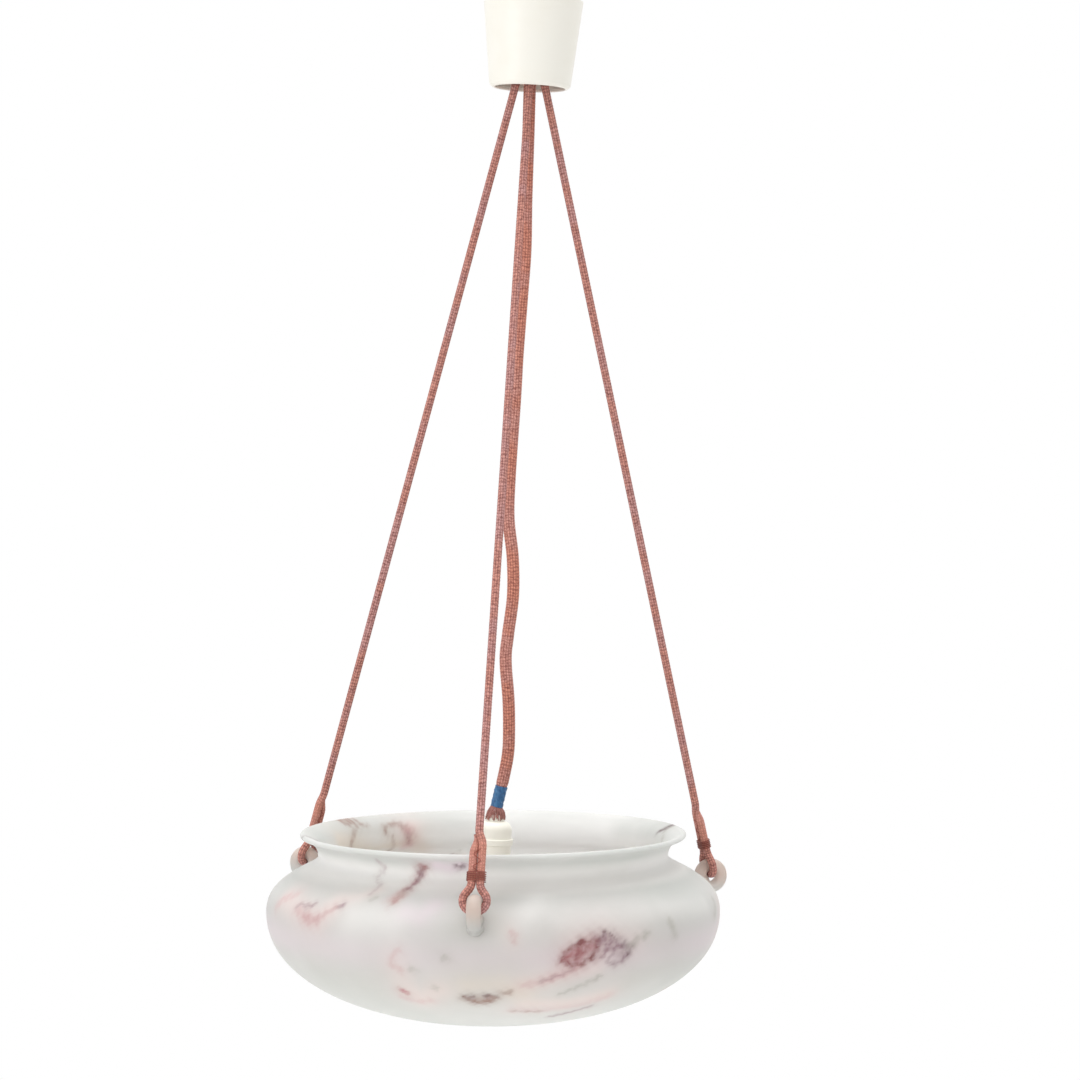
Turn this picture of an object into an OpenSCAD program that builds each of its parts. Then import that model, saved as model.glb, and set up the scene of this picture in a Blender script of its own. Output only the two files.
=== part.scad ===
// Hanging glass bowl light: a cream ceiling cup, three braided cords that end in
// sewn eyes on three glass ears, a frosted glass bowl, and a flex with its lampholder.
// The origin is the centre of the plate's ceiling face, +Z is up, -Y is the front.

/* [Ceiling plate and hook] */
// Diameter of the steel ceiling plate
plate_d = 62; // [56:1:64]
// Thickness of the ceiling plate
plate_t = 2; // [1.5:0.5:3]
// Distance between the two ceiling screw holes
screw_spacing = 50; // [46:1:52]
// Diameter of each ceiling screw hole
screw_hole_d = 5; // [4:0.5:6]
// Diameter of the hook's wire and of its threaded shank
hook_wire_d = 4; // [3.5:0.25:4.5]
// Mean radius of the hook's eye
hook_eye_r = 6; // [5.5:0.25:6.5]
// Length of bare shank between the plate and the hook's eye
hook_neck = 8; // [7:0.5:10]
// Width across the flats of the hook's nut
hook_nut_af = 7; // [6.5:0.5:8]
// Thickness of the hook's nut
hook_nut_t = 3.2; // [2.5:0.1:4]
// Width of the plate's bent tab, which the cup's screw presses on
tab_w = 10; // [8:1:14]
// Drop of the bent tab below the plate
tab_drop = 13; // [11:1:16]

/* [Ceiling cup] */
// Outer diameter of the cup at the ceiling
cup_top_d = 76.5; // [75:0.5:82]
// Outer diameter of the cup at its lower edge, before the edge is rounded
cup_low_d = 62; // [61:0.5:68]
// Height of the cup
cup_h = 67; // [62:1:75]
// Wall of the cup
cup_wall = 2.2; // [1.8:0.1:2.6]
// Radius of the cup's rounded lower edge
cup_edge_r = 4; // [2.5:0.5:5]
// Diameter of the opening in the cup's underside
cup_mouth_d = 54; // [53:0.5:55]
// Drop of the cup's upper rim below the ceiling
cup_play = 0.5; // [0.5:0.1:1]
// Depth of the cup's screw below its upper rim
cup_screw_drop = 9; // [8:0.5:11]
// Diameter of the cup's screw
cup_screw_d = 3; // [2.5:0.5:3.5]

/* [Terminal block] */
// Distance between the block's two poles
pole_pitch = 9; // [9:0.5:11]
// Width of the block along the poles
block_w = 19; // [19:0.5:22]
// Depth of the block from front to back
block_d = 12; // [11:0.5:13]
// Height of the block below the plate
block_h = 18; // [16:1:20]
// Outer diameter of each brass clamp
clamp_d = 5; // [4.6:0.2:5.6]
// Bore of each brass clamp
clamp_bore_d = 3.4; // [3.2:0.1:3.6]
// Diameter of each clamp screw
clamp_screw_d = 2.5; // [2:0.25:3]
// Depth of the upper clamp screws below the plate
clamp_screw_drop = 5; // [4:0.5:6]
// Height between the upper and the lower clamp screws
clamp_screw_pitch = 8; // [7:0.5:9]

/* [Cords and link] */
// Diameter of a suspension cord
cord_d = 6; // [5:0.5:6.5]
// Distance between two cord eyes along the link's bar
eye_pitch = 7; // [7:0.25:8]
// Diameter of the steel link's wire
link_wire_d = 3; // [2.5:0.25:3.2]
// Length of the link's straight legs
link_leg = 16; // [14:0.5:18]
// Free space beside the outer cord eyes inside the link
link_play = 2; // [1.5:0.25:3]
// Length of the sewn splice above each lower eye
splice_len = 28; // [24:1:40]
// Length over which the cord comes in to the middle above its splice
splice_taper = 10; // [8:1:20]
// Extra radius of the knot below each upper eye
knot_extra = 0.25; // [0:0.05:1]
// Angle of a lower eye's strands to the cord
strand_angle = 40; // [36:1:42]
// Diameter of the whipping thread
thread_d = 0.9; // [0.8:0.05:1.1]
// Distance between two turns of the whipping
thread_pitch = 1.4; // [1.4:0.05:1.7]
// Number of turns in each whipping
whip_turns = 5; // [3:1:6]

/* [Glass bowl] */
// Height of the rim plane below the ceiling
rim_drop = 642; // [600:1:700]
// Diameter of the rim over its lip
rim_d = 299; // [290:1:305]
// Outer diameter of the narrow neck under the rim
neck_d = 270; // [260:1:276]
// Depth of the neck below the rim
neck_drop = 15.5; // [13:0.5:18]
// Largest outer diameter of the bowl
bowl_d = 350; // [340:1:360]
// Depth of the widest part below the rim
belly_drop = 57; // [52:1:62]
// Height of the bowl from rim to base
bowl_h = 142; // [135:1:155]
// Wall of the glass
glass_t = 4; // [3:0.25:5]
// Fullness of the bowl's underside, where 2 is an ellipse
fullness = 2.15; // [2:0.05:2.4]
// Angle that the bowl hangs off level, as its three tied cords differ a little
bowl_lean = 2.5; // [0:0.5:3]
// Depth of the bowl's balance point below its rim
balance_drop = 71; // [60:1:80]

/* [Glass ears] */
// Distance from the shoulder out to each ear's centre
ear_stand = 15; // [14:0.5:18]
// Depth of the front ear's centre below the rim
ear_front_drop = 35; // [32:0.5:37]
// Depth of the right ear's centre below the rim
ear_right_drop = 40.5; // [38:0.5:42]
// Depth of the left ear's centre below the rim
ear_left_drop = 34; // [32:0.5:38]
// Mean radius of an ear's ring
ear_ring_r = 9; // [8.8:0.1:10]
// Thickness of an ear's bar in the plane of its ring
ear_bar_d = 9; // [8:0.25:9.25]
// Extra width of the bar along the ring's axis
ear_bar_flat = 2; // [1:0.5:4]
// Slope of the foot, down towards the bowl
ear_foot_slope = 30; // [24:1:36]
// Angle of the front ear from the front, towards the right
ear_front_turn = -4; // [-10:1:10]
// Angle of the right ear from the front
ear_right_turn = 111.5; // [105:0.5:125]
// Angle of the left ear from the front
ear_left_turn = -122; // [-130:0.5:-110]

/* [Flex and tape] */
// Diameter of the braided flex
flex_d = 9.5; // [8.5:0.25:9.5]
// Distance of the flex behind the middle of the plate
flex_back = 16; // [15.5:0.25:16.5]
// Diameter of each insulated core
core_d = 2.2; // [1.8:0.1:2.4]
// Distance between the two cores inside the flex
core_pitch = 4; // [3:0.2:5]
// Outer diameter of the tape sleeve
tape_d = 10.9; // [10.7:0.1:12]
// Length of the tape sleeve
tape_len = 16.5; // [12:0.5:17]

/* [Lampholder] */
// Diameter of the lampholder's shell
holder_d = 26; // [26:0.5:29]
// Diameter of the ring that joins the shell's two halves
holder_ring_d = 28.5; // [28:0.5:32]
// Height of the lampholder
holder_h = 48; // [46:0.5:52]
// Height of the upper half with its neck
holder_cap_h = 21; // [20:0.5:24]
// Diameter of the neck at the top
holder_neck_d = 14; // [13:0.5:16]
// Height of the neck at the top
holder_neck_h = 5; // [4.5:0.5:7]
// Wall of the lampholder's shell
holder_wall = 1.6; // [1.2:0.1:2]
// Bore in the neck, where the cores enter
holder_bore_d = 8; // [7:0.5:9]
// Height of the ring that joins the shell's two halves
holder_ring_h = 5; // [4:0.5:6]
// Thickness of the steatite insert
insert_t = 9; // [8:0.5:10]
// Distance between the two contact screws
contact_pitch = 15; // [14:0.5:16]
// Outer diameter of the brass screw shell
shell_d = 15; // [14.9:0.1:16]
// Wall of the brass screw shell
shell_wall = 0.5; // [0.4:0.05:0.6]

/* [Bulb] */
// Length of the bulb's screw cap
bulb_cap_h = 21; // [19:0.5:23]
// Diameter of the bulb's glass
bulb_d = 45; // [35:1:50]
// Height of the glass from the cap to the widest part
bulb_neck_h = 30; // [26:1:34]
// Wall of the bulb's glass
bulb_wall = 0.8; // [0.6:0.1:1]

/* [Hidden] */
$fn = 64;

// Clearances between pieces
touch = 0.05;      // pieces that rest on each other
running = 0.1;     // wire in wire, and screws in holes
soft_gap = 0.3;    // round a soft piece
shell_gap = 0.2;   // between the bulb's screw cap and its shell

// Ceiling levels
cup_top_z = -cup_play;
eye_top_z = -plate_t - hook_neck;
hook_centre_z = eye_top_z - hook_eye_r;
hook_low_z = hook_centre_z - hook_eye_r;
link_top_z = hook_low_z + hook_wire_d / 2 + link_wire_d / 2 + running;
loop_r = link_wire_d / 2 + soft_gap + cord_d / 2;
link_r = eye_pitch + cord_d / 2 + link_play + link_wire_d / 2;
link_arc_z = link_top_z - link_r;
bar_z = link_arc_z - link_leg;
tab_y = plate_d / 2 - 2;
tab_t = plate_t - 0.5;
knot_r = cord_d / 2 + knot_extra;

// The cup's outline
cup_top_r = cup_top_d / 2;
cup_low_r = cup_low_d / 2;
function cup_r(depth) = cup_top_r - (cup_top_r - cup_low_r) * depth / cup_h;

// Places in the bowl's own frame are turned about its balance point, plumb under the hook
function leant(v) = [
  v[0] * cos(bowl_lean) - v[2] * sin(bowl_lean), v[1],
  v[0] * sin(bowl_lean) + v[2] * cos(bowl_lean)
];
function hung(p) = leant([p[0], p[1], p[2] + balance_drop]) - [0, 0, rim_drop + balance_drop];
module hang_bowl() {
  translate([0, 0, -rim_drop - balance_drop]) rotate([0, -bowl_lean, 0])
    translate([0, 0, balance_drop]) children();
}

// Vectors
function unit(v) = v / norm(v);
function across(v, axis) = v - (v * axis) * axis;

// One entry per cord: the ear's turn, the place of its upper eye along the link's bar,
// and the ear's depth
FRONT = [ear_front_turn, 0, ear_front_drop];
RIGHT = [ear_right_turn, 1, ear_right_drop];
LEFT = [ear_left_turn, -1, ear_left_drop];
function ear_reach(side) = outer_r(side[2]) + ear_stand;
function ear_centre(side) = let (reach = ear_reach(side))
  hung([reach * sin(side[0]), -reach * cos(side[0]), -side[2]]);
function ear_axis(side) = leant([cos(side[0]), sin(side[0]), 0]);
function upper_eye(side) = [side[1] * eye_pitch, 0, bar_z];
function bar_centre(side) = ear_centre(side)
  + ear_ring_r * unit(across(upper_eye(side) - ear_centre(side), ear_axis(side)));

// A lower eye: its strands leave two arcs round the ear's bar and close in on the splice
eye_r = ear_bar_d / 2 + soft_gap + cord_d / 2;
strand_x = cord_d / 2 + touch;
bend_r = 1.5 * cord_d;
strand_len = (ear_bar_flat / 2 + eye_r * cos(strand_angle) - strand_x
  - bend_r * (1 - cos(strand_angle))) / sin(strand_angle);
bend_x = strand_x + bend_r;
throat_z = eye_r * sin(strand_angle) + strand_len * cos(strand_angle)
  + bend_r * sin(strand_angle);

// The frame of a cord: its origin on the ear's bar, z along the cord, x along the ear's axis
function cord_len(side) = norm(upper_eye(side) - bar_centre(side));
function cord_z(side) = unit(upper_eye(side) - bar_centre(side));
function cord_x(side) = unit(across(ear_axis(side), cord_z(side)));
function frame_of(x, z, p) = let (y = cross(z, x)) [
  [x[0], y[0], z[0], p[0]], [x[1], y[1], z[1], p[1]], [x[2], y[2], z[2], p[2]], [0, 0, 0, 1]
];
module in_cord_frame(side) {
  multmatrix(frame_of(cord_x(side), cord_z(side), bar_centre(side))) children();
}

// The flex hangs plumb under the terminal block, with the small waves of a used flex
flex_top_z = -32;
flex_points = [
  [0, flex_back, -32], [0, flex_back, -50], [0, flex_back, -70], [0.5, flex_back, -105],
  [1, flex_back, -150], [2, flex_back, -190], [1, flex_back, -225], [-0.5, flex_back, -270],
  [-1, flex_back, -305], [-2.5, flex_back, -365], [-2, flex_back, -398],
  [2.5, flex_back, -428], [4, flex_back, -458], [1.5, flex_back, -488],
  [0.5, flex_back, -508], [4, flex_back, -538], [5.5, flex_back, -562],
  [5.5, flex_back, -580], [3, flex_back, -598], [-2, flex_back, -624]
];
flex_last = flex_points[len(flex_points) - 1];
flex_before = flex_points[len(flex_points) - 2];
flex_lean = atan2(flex_before[0] - flex_last[0], flex_before[2] - flex_last[2]);

// The lampholder hangs under the flex's end
holder_x = -2;
holder_top_z = -628;
holder_ring_z = holder_top_z - holder_cap_h;
holder_low_z = holder_top_z - holder_h;
holder_r = holder_d / 2;
inside_r = holder_r - holder_wall;
module at_holder(z) {
  translate([holder_x, flex_back, z]) children();
}

// Outline helpers
function bezier(a, b, c, d, n, first = 0) = [
  for (i = [first:n]) let (t = i / n, s = 1 - t)
    s * s * s * a + 3 * s * s * t * b + 3 * s * t * t * c + t * t * t * d
];
function arc(centre, r, from, to, n) = [
  for (i = [0:n]) let (a = from + (to - from) * i / n) centre + r * [cos(a), sin(a)]
];
function reversed(list) = [for (i = [len(list) - 1:-1:0]) list[i]];

// The bowl's outside from the rim to the base
rim_r = rim_d / 2;
neck_r = neck_d / 2;
bowl_r = bowl_d / 2;
base_depth = bowl_h - belly_drop;
outer_line = concat(
  bezier([rim_r - glass_t / 2, -glass_t / 4], [rim_r - 9, -3], [neck_r, -7],
    [neck_r, -neck_drop], 8),
  bezier([neck_r, -neck_drop], [neck_r, -neck_drop - 7.5],
    [bowl_r, -belly_drop / 2], [bowl_r, -belly_drop], 14, 1),
  [for (i = [1:20]) let (a = 90 * i / 20) [
    bowl_r * pow(cos(a), 2 / fullness),
    -belly_drop - base_depth * pow(sin(a), 2 / fullness)
  ]]
);
// The outside radius at a depth below the rim
outer_table = [for (p = reversed(outer_line)) [p[1], p[0]]];
function outer_r(depth) = lookup(-depth, outer_table);
function slope_at(line, i) = let (last = len(line) - 1)
  i == last ? [-1, 0] : unit(line[min(i + 1, last)] - line[max(i - 1, 0)]);
inner_line = [
  for (i = [0:len(outer_line) - 1]) let (d = slope_at(outer_line, i))
    outer_line[i] + glass_t * (i == len(outer_line) - 1 ? [0, 1] : [d[1], -d[0]])
];
lip_from = atan2(outer_line[0][1] - inner_line[0][1], outer_line[0][0] - inner_line[0][0]);
lip_line = arc((outer_line[0] + inner_line[0]) / 2, glass_t / 2, lip_from + 180, lip_from, 8);

// A straight rod between two points
module rod(from, to, d) {
  multmatrix(let (z = unit(to - from), x = unit(cross([0, 1, 0], z))) frame_of(x, z, from))
    cylinder(h = norm(to - from), d = d);
}

// A tube swept along points, with one ring of sides on each point
module swept(points, d, sides) {
  last = len(points) - 1;
  dir = [for (i = [0:last]) unit(points[min(i + 1, last)] - points[max(i - 1, 0)])];
  rings = [
    for (i = [0:last]) let (x = unit(across([0, 1, 0], dir[i])), y = cross(dir[i], x))
      for (k = [0:sides - 1]) let (a = 360 * k / sides)
        points[i] + d / 2 * (cos(a) * x + sin(a) * y)
  ];
  sides_faces = [
    for (i = [0:last - 1], k = [0:sides - 1])
      let (a = i * sides + k, b = i * sides + (k + 1) % sides)
        for (f = [[a, a + sides, b], [b, a + sides, b + sides]]) f
  ];
  caps = [
    for (k = [1:sides - 2])
      for (f = [[0, k, k + 1], [last * sides, last * sides + k + 1, last * sides + k]]) f
  ];
  polyhedron(rings, concat(sides_faces, caps));
}

module hexagon(af, h) {
  cylinder(h = h, d = af / cos(30), $fn = 6);
}

// Ceiling plate, hook and nut
module ceiling_plate() {
  color("silver") difference() {
    union() {
      translate([0, 0, -plate_t]) cylinder(h = plate_t, d = plate_d);
      translate([-tab_w / 2, tab_y - tab_t, -plate_t - tab_drop])
        cube([tab_w, tab_t, tab_drop + plate_t / 2]);
    }
    for (side = [-1, 1]) translate([side * screw_spacing / 2, 0, -plate_t - 1])
      cylinder(h = plate_t + 2, d = screw_hole_d);
    translate([0, 0, -plate_t - 1]) cylinder(h = plate_t + 2, d = hook_wire_d + 2 * running);
    translate([0, block_y, -plate_t - 1])
      cylinder(h = plate_t + 2, d = clamp_screw_d + 2 * running);
  }
}

module ceiling_hook() {
  color("silver") union() {
    translate([0, 0, eye_top_z]) cylinder(h = -eye_top_z - running, d = hook_wire_d);
    translate([0, 0, hook_centre_z]) rotate([90, 0, 90]) rotate([0, 0, 180])
      rotate_extrude(angle = 270) translate([hook_eye_r, 0]) circle(d = hook_wire_d);
  }
}

module hook_nut() {
  color("silver") translate([0, 0, -plate_t - hook_nut_t]) difference() {
    hexagon(hook_nut_af, hook_nut_t);
    translate([0, 0, -1]) cylinder(h = hook_nut_t + 2, d = hook_wire_d + 2 * running);
  }
}

// Terminal block behind the hook, screwed up to the plate
block_y = flex_back;
block_low_z = -plate_t - block_h;
clamp_screw_z = [
  -plate_t - clamp_screw_drop, -plate_t - clamp_screw_drop - clamp_screw_pitch
];
module at_poles() {
  for (side = [-1, 1]) translate([side * pole_pitch / 2, block_y, 0]) children();
}

module terminal_block() {
  color("ivory") difference() {
    translate([-block_w / 2, block_y - block_d / 2, block_low_z])
      cube([block_w, block_d, block_h]);
    at_poles() translate([0, 0, block_low_z - 1])
      cylinder(h = block_h - 0.5, d = clamp_d + 2 * touch);
    at_poles() for (z = clamp_screw_z) translate([0, 0, z]) rotate([-90, 0, 0])
      cylinder(h = block_d, d = clamp_screw_d + 1);
    translate([0, block_y, block_low_z - 1])
      cylinder(h = block_h + 2, d = clamp_screw_d + 2 * running);
    translate([0, block_y, block_low_z - 1]) cylinder(h = 3, d = 2 * clamp_screw_d - 1.2);
  }
}

module block_screw() {
  head_h = 1.5;
  color("silver") translate([0, block_y, block_low_z + 2 - head_h]) union() {
    cylinder(h = head_h, d = 2 * clamp_screw_d - 1.4);
    cylinder(h = block_h + plate_t - 2 + head_h - running, d = clamp_screw_d);
  }
}

module terminal_clamps() {
  color("goldenrod") at_poles() difference() {
    translate([0, 0, block_low_z + 1]) cylinder(h = block_h - 3, d = clamp_d);
    translate([0, 0, block_low_z]) cylinder(h = block_h, d = clamp_bore_d);
    for (z = clamp_screw_z) translate([0, 0, z]) rotate([-90, 0, 0])
      cylinder(h = clamp_d, d = clamp_screw_d + 2 * touch);
  }
}

module terminal_screws() {
  head_d = clamp_screw_d + 0.8;
  color("silver") at_poles() for (z = clamp_screw_z) difference() {
    translate([0, 0, z]) rotate([-90, 0, 0]) union() {
      translate([0, 0, core_d / 2 + running]) cylinder(h = 3, d = clamp_screw_d);
      translate([0, 0, clamp_d / 2 + touch]) cylinder(h = 2, d = head_d);
    }
    translate([-head_d, clamp_d / 2 + touch + 1.4, z - 0.25]) cube([2 * head_d, 1, 0.5]);
  }
}

// Ceiling cup, which a screw at the back holds to the plate's tab
cup_edge_z = cup_top_z - cup_h;
cup_in_edge = cup_edge_r - cup_wall;
module cup() {
  low_out = cup_r(cup_h - cup_edge_r) - cup_edge_r;
  screw_z = cup_top_z - cup_screw_drop;
  color("ivory") difference() {
    translate([0, 0, cup_edge_z]) rotate_extrude($fn = 128) polygon(concat(
      [[cup_mouth_d / 2, cup_wall], [cup_mouth_d / 2, 0.6], [cup_mouth_d / 2 + 0.6, 0]],
      arc([low_out, cup_edge_r], cup_edge_r, -90, 0, 8),
      [[cup_top_r, cup_h], [cup_top_r - cup_wall, cup_h]],
      arc([low_out, cup_edge_r], cup_in_edge, 0, -90, 6)
    ));
    translate([0, 0, screw_z]) rotate([-90, 0, 0])
      cylinder(h = cup_top_d, d = cup_screw_d + 2 * running);
  }
}

cup_face_y = cup_r(cup_screw_drop - cup_screw_d) + touch;
module cup_screw() {
  head_d = 2 * cup_screw_d;
  head_h = 1.8;
  color("silver") translate([0, 0, cup_top_z - cup_screw_drop]) rotate([-90, 0, 0]) difference() {
    union() {
      translate([0, 0, tab_y + touch]) cylinder(h = cup_face_y - tab_y, d = cup_screw_d);
      translate([0, 0, cup_face_y]) cylinder(h = head_h, d = head_d);
    }
    translate([-head_d, -0.4, cup_face_y + head_h - 0.9]) cube([2 * head_d, 0.8, 1]);
  }
}

module cup_nut() {
  nut_t = 2.4;
  nut_af = 5.5;
  wall_y = sqrt(pow(cup_r(cup_screw_drop + nut_af / 2) - cup_wall, 2) - pow(nut_af / 2, 2));
  color("silver") translate([0, wall_y - nut_t - 0.3, cup_top_z - cup_screw_drop])
    rotate([-90, 0, 0]) difference() {
      hexagon(nut_af, nut_t);
      translate([0, 0, -1]) cylinder(h = nut_t + 2, d = cup_screw_d + 2 * touch);
    }
}

// Steel link: half a ring on the hook, two legs and a straight bar for the cord eyes
module suspension_link() {
  color("silver") union() {
    translate([0, 0, link_arc_z]) rotate([90, 0, 0])
      rotate_extrude(angle = 180) translate([link_r, 0]) circle(d = link_wire_d);
    for (side = [-1, 1]) {
      translate([side * link_r, 0, bar_z]) cylinder(h = link_leg, d = link_wire_d);
      translate([side * link_r, 0, bar_z]) sphere(d = link_wire_d + 0.2);
    }
    translate([-link_r, 0, bar_z]) rotate([0, 90, 0]) cylinder(h = 2 * link_r, d = link_wire_d);
  }
}

// The knot under an upper eye, as far from the link's bar as the eye's own turn
function knot_centre(side) = upper_eye(side)
  - loop_r / norm(across(cord_z(side), [1, 0, 0])) * cord_z(side);

// A cord runs from its tail's end down one strand, round the ear's bar, up beside the tail
// and then in the middle to the link
function strand_points(part) = let (flat = ear_bar_flat / 2)
  part == "arc" ? [
    for (i = [0:8]) let (a = -90 + (90 + strand_angle) * i / 8)
      [flat + eye_r * cos(a), 0, eye_r * sin(a)]
  ] : [
    for (i = [0:3]) let (a = strand_angle * (1 - i / 3))
      [bend_x - bend_r * cos(a), 0, throat_z - bend_r * sin(a)]
  ];
strand_line = concat(strand_points("arc"), strand_points("bend"));
function mirrored(points) = [for (p = points) [-p[0], p[1], p[2]]];
tail_z = throat_z + splice_len;
function cord_line(side) = concat(
  [[-strand_x, 0, tail_z - 2 * soft_gap]],
  mirrored(reversed(strand_line)),
  strand_line,
  [[strand_x, 0, tail_z], [0, 0, tail_z + splice_taper], [0, 0, cord_len(side) - loop_r]]
);

module cord(side) {
  union() {
    translate(upper_eye(side)) rotate([0, 90, 0])
      rotate_extrude() translate([loop_r, 0]) circle(d = cord_d);
    translate(knot_centre(side)) sphere(r = knot_r);
    in_cord_frame(side) swept(cord_line(side), cord_d, 12);
  }
}
module cord_front() { color("rosybrown") cord(FRONT); }
module cord_right() { color("rosybrown") cord(RIGHT); }
module cord_left() { color("rosybrown") cord(LEFT); }

// A whipping: one thread wound round both strands above the throat
whip_r = cord_d / 2 + soft_gap + thread_d / 2;
whip_steps = 24;
whip_z = throat_z + thread_d;
function whip_point(i) = let (
    a = 360 * i / whip_steps,
    end = cos(a) >= 0 ? strand_x : -strand_x,
    blend = min(1, abs(cos(a)) * 3)
  ) [end * blend + whip_r * cos(a), whip_r * sin(a), whip_z + thread_pitch * i / whip_steps];
whip_points = [for (i = [0:whip_turns * whip_steps]) whip_point(i)];
whip_least = min([
  for (i = [0:whip_steps], j = [whip_steps - 3:whip_steps + 3])
    norm(whip_points[i + j] - whip_points[i]) - thread_d
]);
echo(least_gap_between_whipping_turns = whip_least);
module whipping(side) {
  in_cord_frame(side) swept(whip_points, thread_d, 6);
}
module whipping_front() { color("sienna") whipping(FRONT); }
module whipping_right() { color("sienna") whipping(RIGHT); }
module whipping_left() { color("sienna") whipping(LEFT); }

// The bowl's solid outside, and its wall
module bowl_core() {
  rotate_extrude($fn = 180) polygon(concat([[0, -glass_t]], outer_line));
}
module glass_bowl() {
  color([0.9, 0.9, 0.88]) hang_bowl()
    rotate_extrude($fn = 180) polygon(concat(outer_line, reversed(inner_line), lip_line));
}

// A glass ear: a ring with a flattened bar, melted on to the shoulder by its foot
module ear(side) {
  color([0.85, 0.8, 0.75]) hang_bowl() difference() {
    rotate([0, 0, side[0] - 90]) translate([ear_reach(side), 0, -side[2]]) union() {
      rotate([90, 0, 0]) rotate_extrude() translate([ear_ring_r, 0]) union() {
        for (end = [-1, 1]) translate([0, end * ear_bar_flat / 2]) circle(d = ear_bar_d);
        square([ear_bar_d, ear_bar_flat], center = true);
      }
      rotate([0, -90 - ear_foot_slope, 0]) translate([0, 0, ear_ring_r])
        cylinder(h = ear_stand / cos(ear_foot_slope) - ear_ring_r, d = ear_bar_d + 1);
    }
    bowl_core();
  }
}
module ear_front() { ear(FRONT); }
module ear_right() { ear(RIGHT); }
module ear_left() { ear(LEFT); }

// Flex, its cores at the top, the tape near its end and the tails into the lampholder
module flex() {
  color("rosybrown") swept(flex_points, flex_d, 12);
}

// A core runs straight at the flex's end, spreads, and runs straight again
module core_route(near_x, far_x, heights) {
  points = [[near_x, 0, heights[0]], [near_x, 0, heights[1]], [far_x, 0, heights[2]],
    [far_x, 0, heights[3]]];
  union() {
    for (i = [0:2]) rod(points[i], points[i + 1], core_d);
    for (i = [1, 2]) translate(points[i]) sphere(d = core_d + 0.1);
  }
}

module flex_cores() {
  heights = [flex_top_z + soft_gap, flex_top_z + 2, block_low_z - core_d, block_low_z + 5];
  color("firebrick") translate([0, flex_back, 0]) for (side = [-1, 1])
    core_route(side * core_pitch / 2, side * pole_pitch / 2, heights);
}

module tape_sleeve() {
  color("steelblue") translate(flex_before) rotate([0, 180 + flex_lean, 0])
    translate([0, 0, 8]) difference() {
      cylinder(h = tape_len, d = tape_d);
      translate([0, 0, -1]) cylinder(h = tape_len + 2, d = flex_d + soft_gap);
    }
}

tail_pitch = 4 * core_d;
module core_tails() {
  neck_low_z = holder_top_z - holder_neck_h - holder_wall;
  heights = [flex_last[2] - core_d / 2, neck_low_z - core_d / 2,
    insert_top_z + 2 * core_d, insert_top_z + touch];
  color("firebrick") translate([holder_x, flex_back, 0]) for (side = [-1, 1])
    core_route(side * core_pitch / 2, side * tail_pitch / 2, heights);
}

// Lampholder: neck and upper half, joining ring, lower half, insert and contacts
insert_top_z = holder_ring_z + 2;
module holder_cap() {
  color("ivory") at_holder(holder_ring_z + touch) difference() {
    rotate_extrude() polygon(concat(
      [[inside_r, 0], [holder_r, 0]],
      arc([holder_r - 7, holder_cap_h - holder_neck_h - 7], 7, 0, 90, 8),
      [[holder_neck_d / 2, holder_cap_h - holder_neck_h],
       [holder_neck_d / 2, holder_cap_h - 1], [holder_neck_d / 2 - 1, holder_cap_h],
       [holder_bore_d / 2, holder_cap_h],
       [holder_bore_d / 2, holder_cap_h - holder_neck_h - holder_wall]],
      arc([holder_r - 7, holder_cap_h - holder_neck_h - 7], 7 - holder_wall, 90, 0, 8)
    ));
    translate([0, 0, holder_cap_h - holder_neck_h / 2]) rotate([-90, 0, 0])
      cylinder(h = holder_d, d = 2 + 2 * running);
  }
}

module grip_screw() {
  color("silver") at_holder(holder_ring_z + touch + holder_cap_h - holder_neck_h / 2)
    rotate([-90, 0, 0]) translate([0, 0, holder_bore_d / 2 - 1]) difference() {
      cylinder(h = holder_neck_d / 2 - holder_bore_d / 2 + 1.6, d = 2);
      translate([-2, -0.25, holder_neck_d / 2 - holder_bore_d / 2 + 0.9]) cube([4, 0.5, 1]);
    }
}

module holder_ring() {
  ring_r = holder_ring_d / 2;
  ease = 0.5;
  color("ivory") at_holder(holder_ring_z - holder_ring_h / 2) rotate_extrude() polygon([
    [holder_r + running, 0], [ring_r - ease, 0], [ring_r, ease],
    [ring_r, holder_ring_h - ease], [ring_r - ease, holder_ring_h],
    [holder_r + running, holder_ring_h]
  ]);
}

module holder_body() {
  low_r = holder_r - 0.5;
  h = holder_h - holder_cap_h;
  lip = 1.4;
  color("ivory") at_holder(holder_low_z) rotate_extrude() polygon([
    [shell_d / 2 + running, 0], [low_r - 1, 0], [low_r, 1], [holder_r, h],
    [inside_r, h], [low_r - holder_wall, lip], [shell_d / 2 + running, lip]
  ]);
}

module holder_insert() {
  color("whitesmoke") at_holder(insert_top_z - insert_t) difference() {
    cylinder(h = insert_t, r = inside_r - 0.4);
    translate([0, 0, -1]) cylinder(h = insert_t - 3, d = shell_d + 2 * running);
    translate([0, 0, -1]) cylinder(h = insert_t + 2, d = 2 + 2 * running);
  }
}

module contact_screws() {
  head_d = 4.5;
  head_h = 1.6;
  color("silver") for (side = [-1, 1])
    translate([holder_x, flex_back + side * contact_pitch / 2, insert_top_z]) difference() {
      cylinder(h = head_h, d = head_d);
      translate([-head_d, -0.4, head_h - 0.7]) cube([2 * head_d, 0.8, 1]);
    }
}

shell_low_z = holder_low_z + 1.5;
shell_inner_top_z = insert_top_z - 4 - running;
module screw_shell() {
  h = shell_inner_top_z - shell_low_z;
  in_r = shell_d / 2 - shell_wall;
  color("goldenrod") at_holder(shell_low_z) rotate_extrude() polygon([
    [in_r, 0], [shell_d / 2, 0], [shell_d / 2, h], [3.5, h], [3.5, h - shell_wall],
    [in_r, h - shell_wall]
  ]);
}

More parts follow.
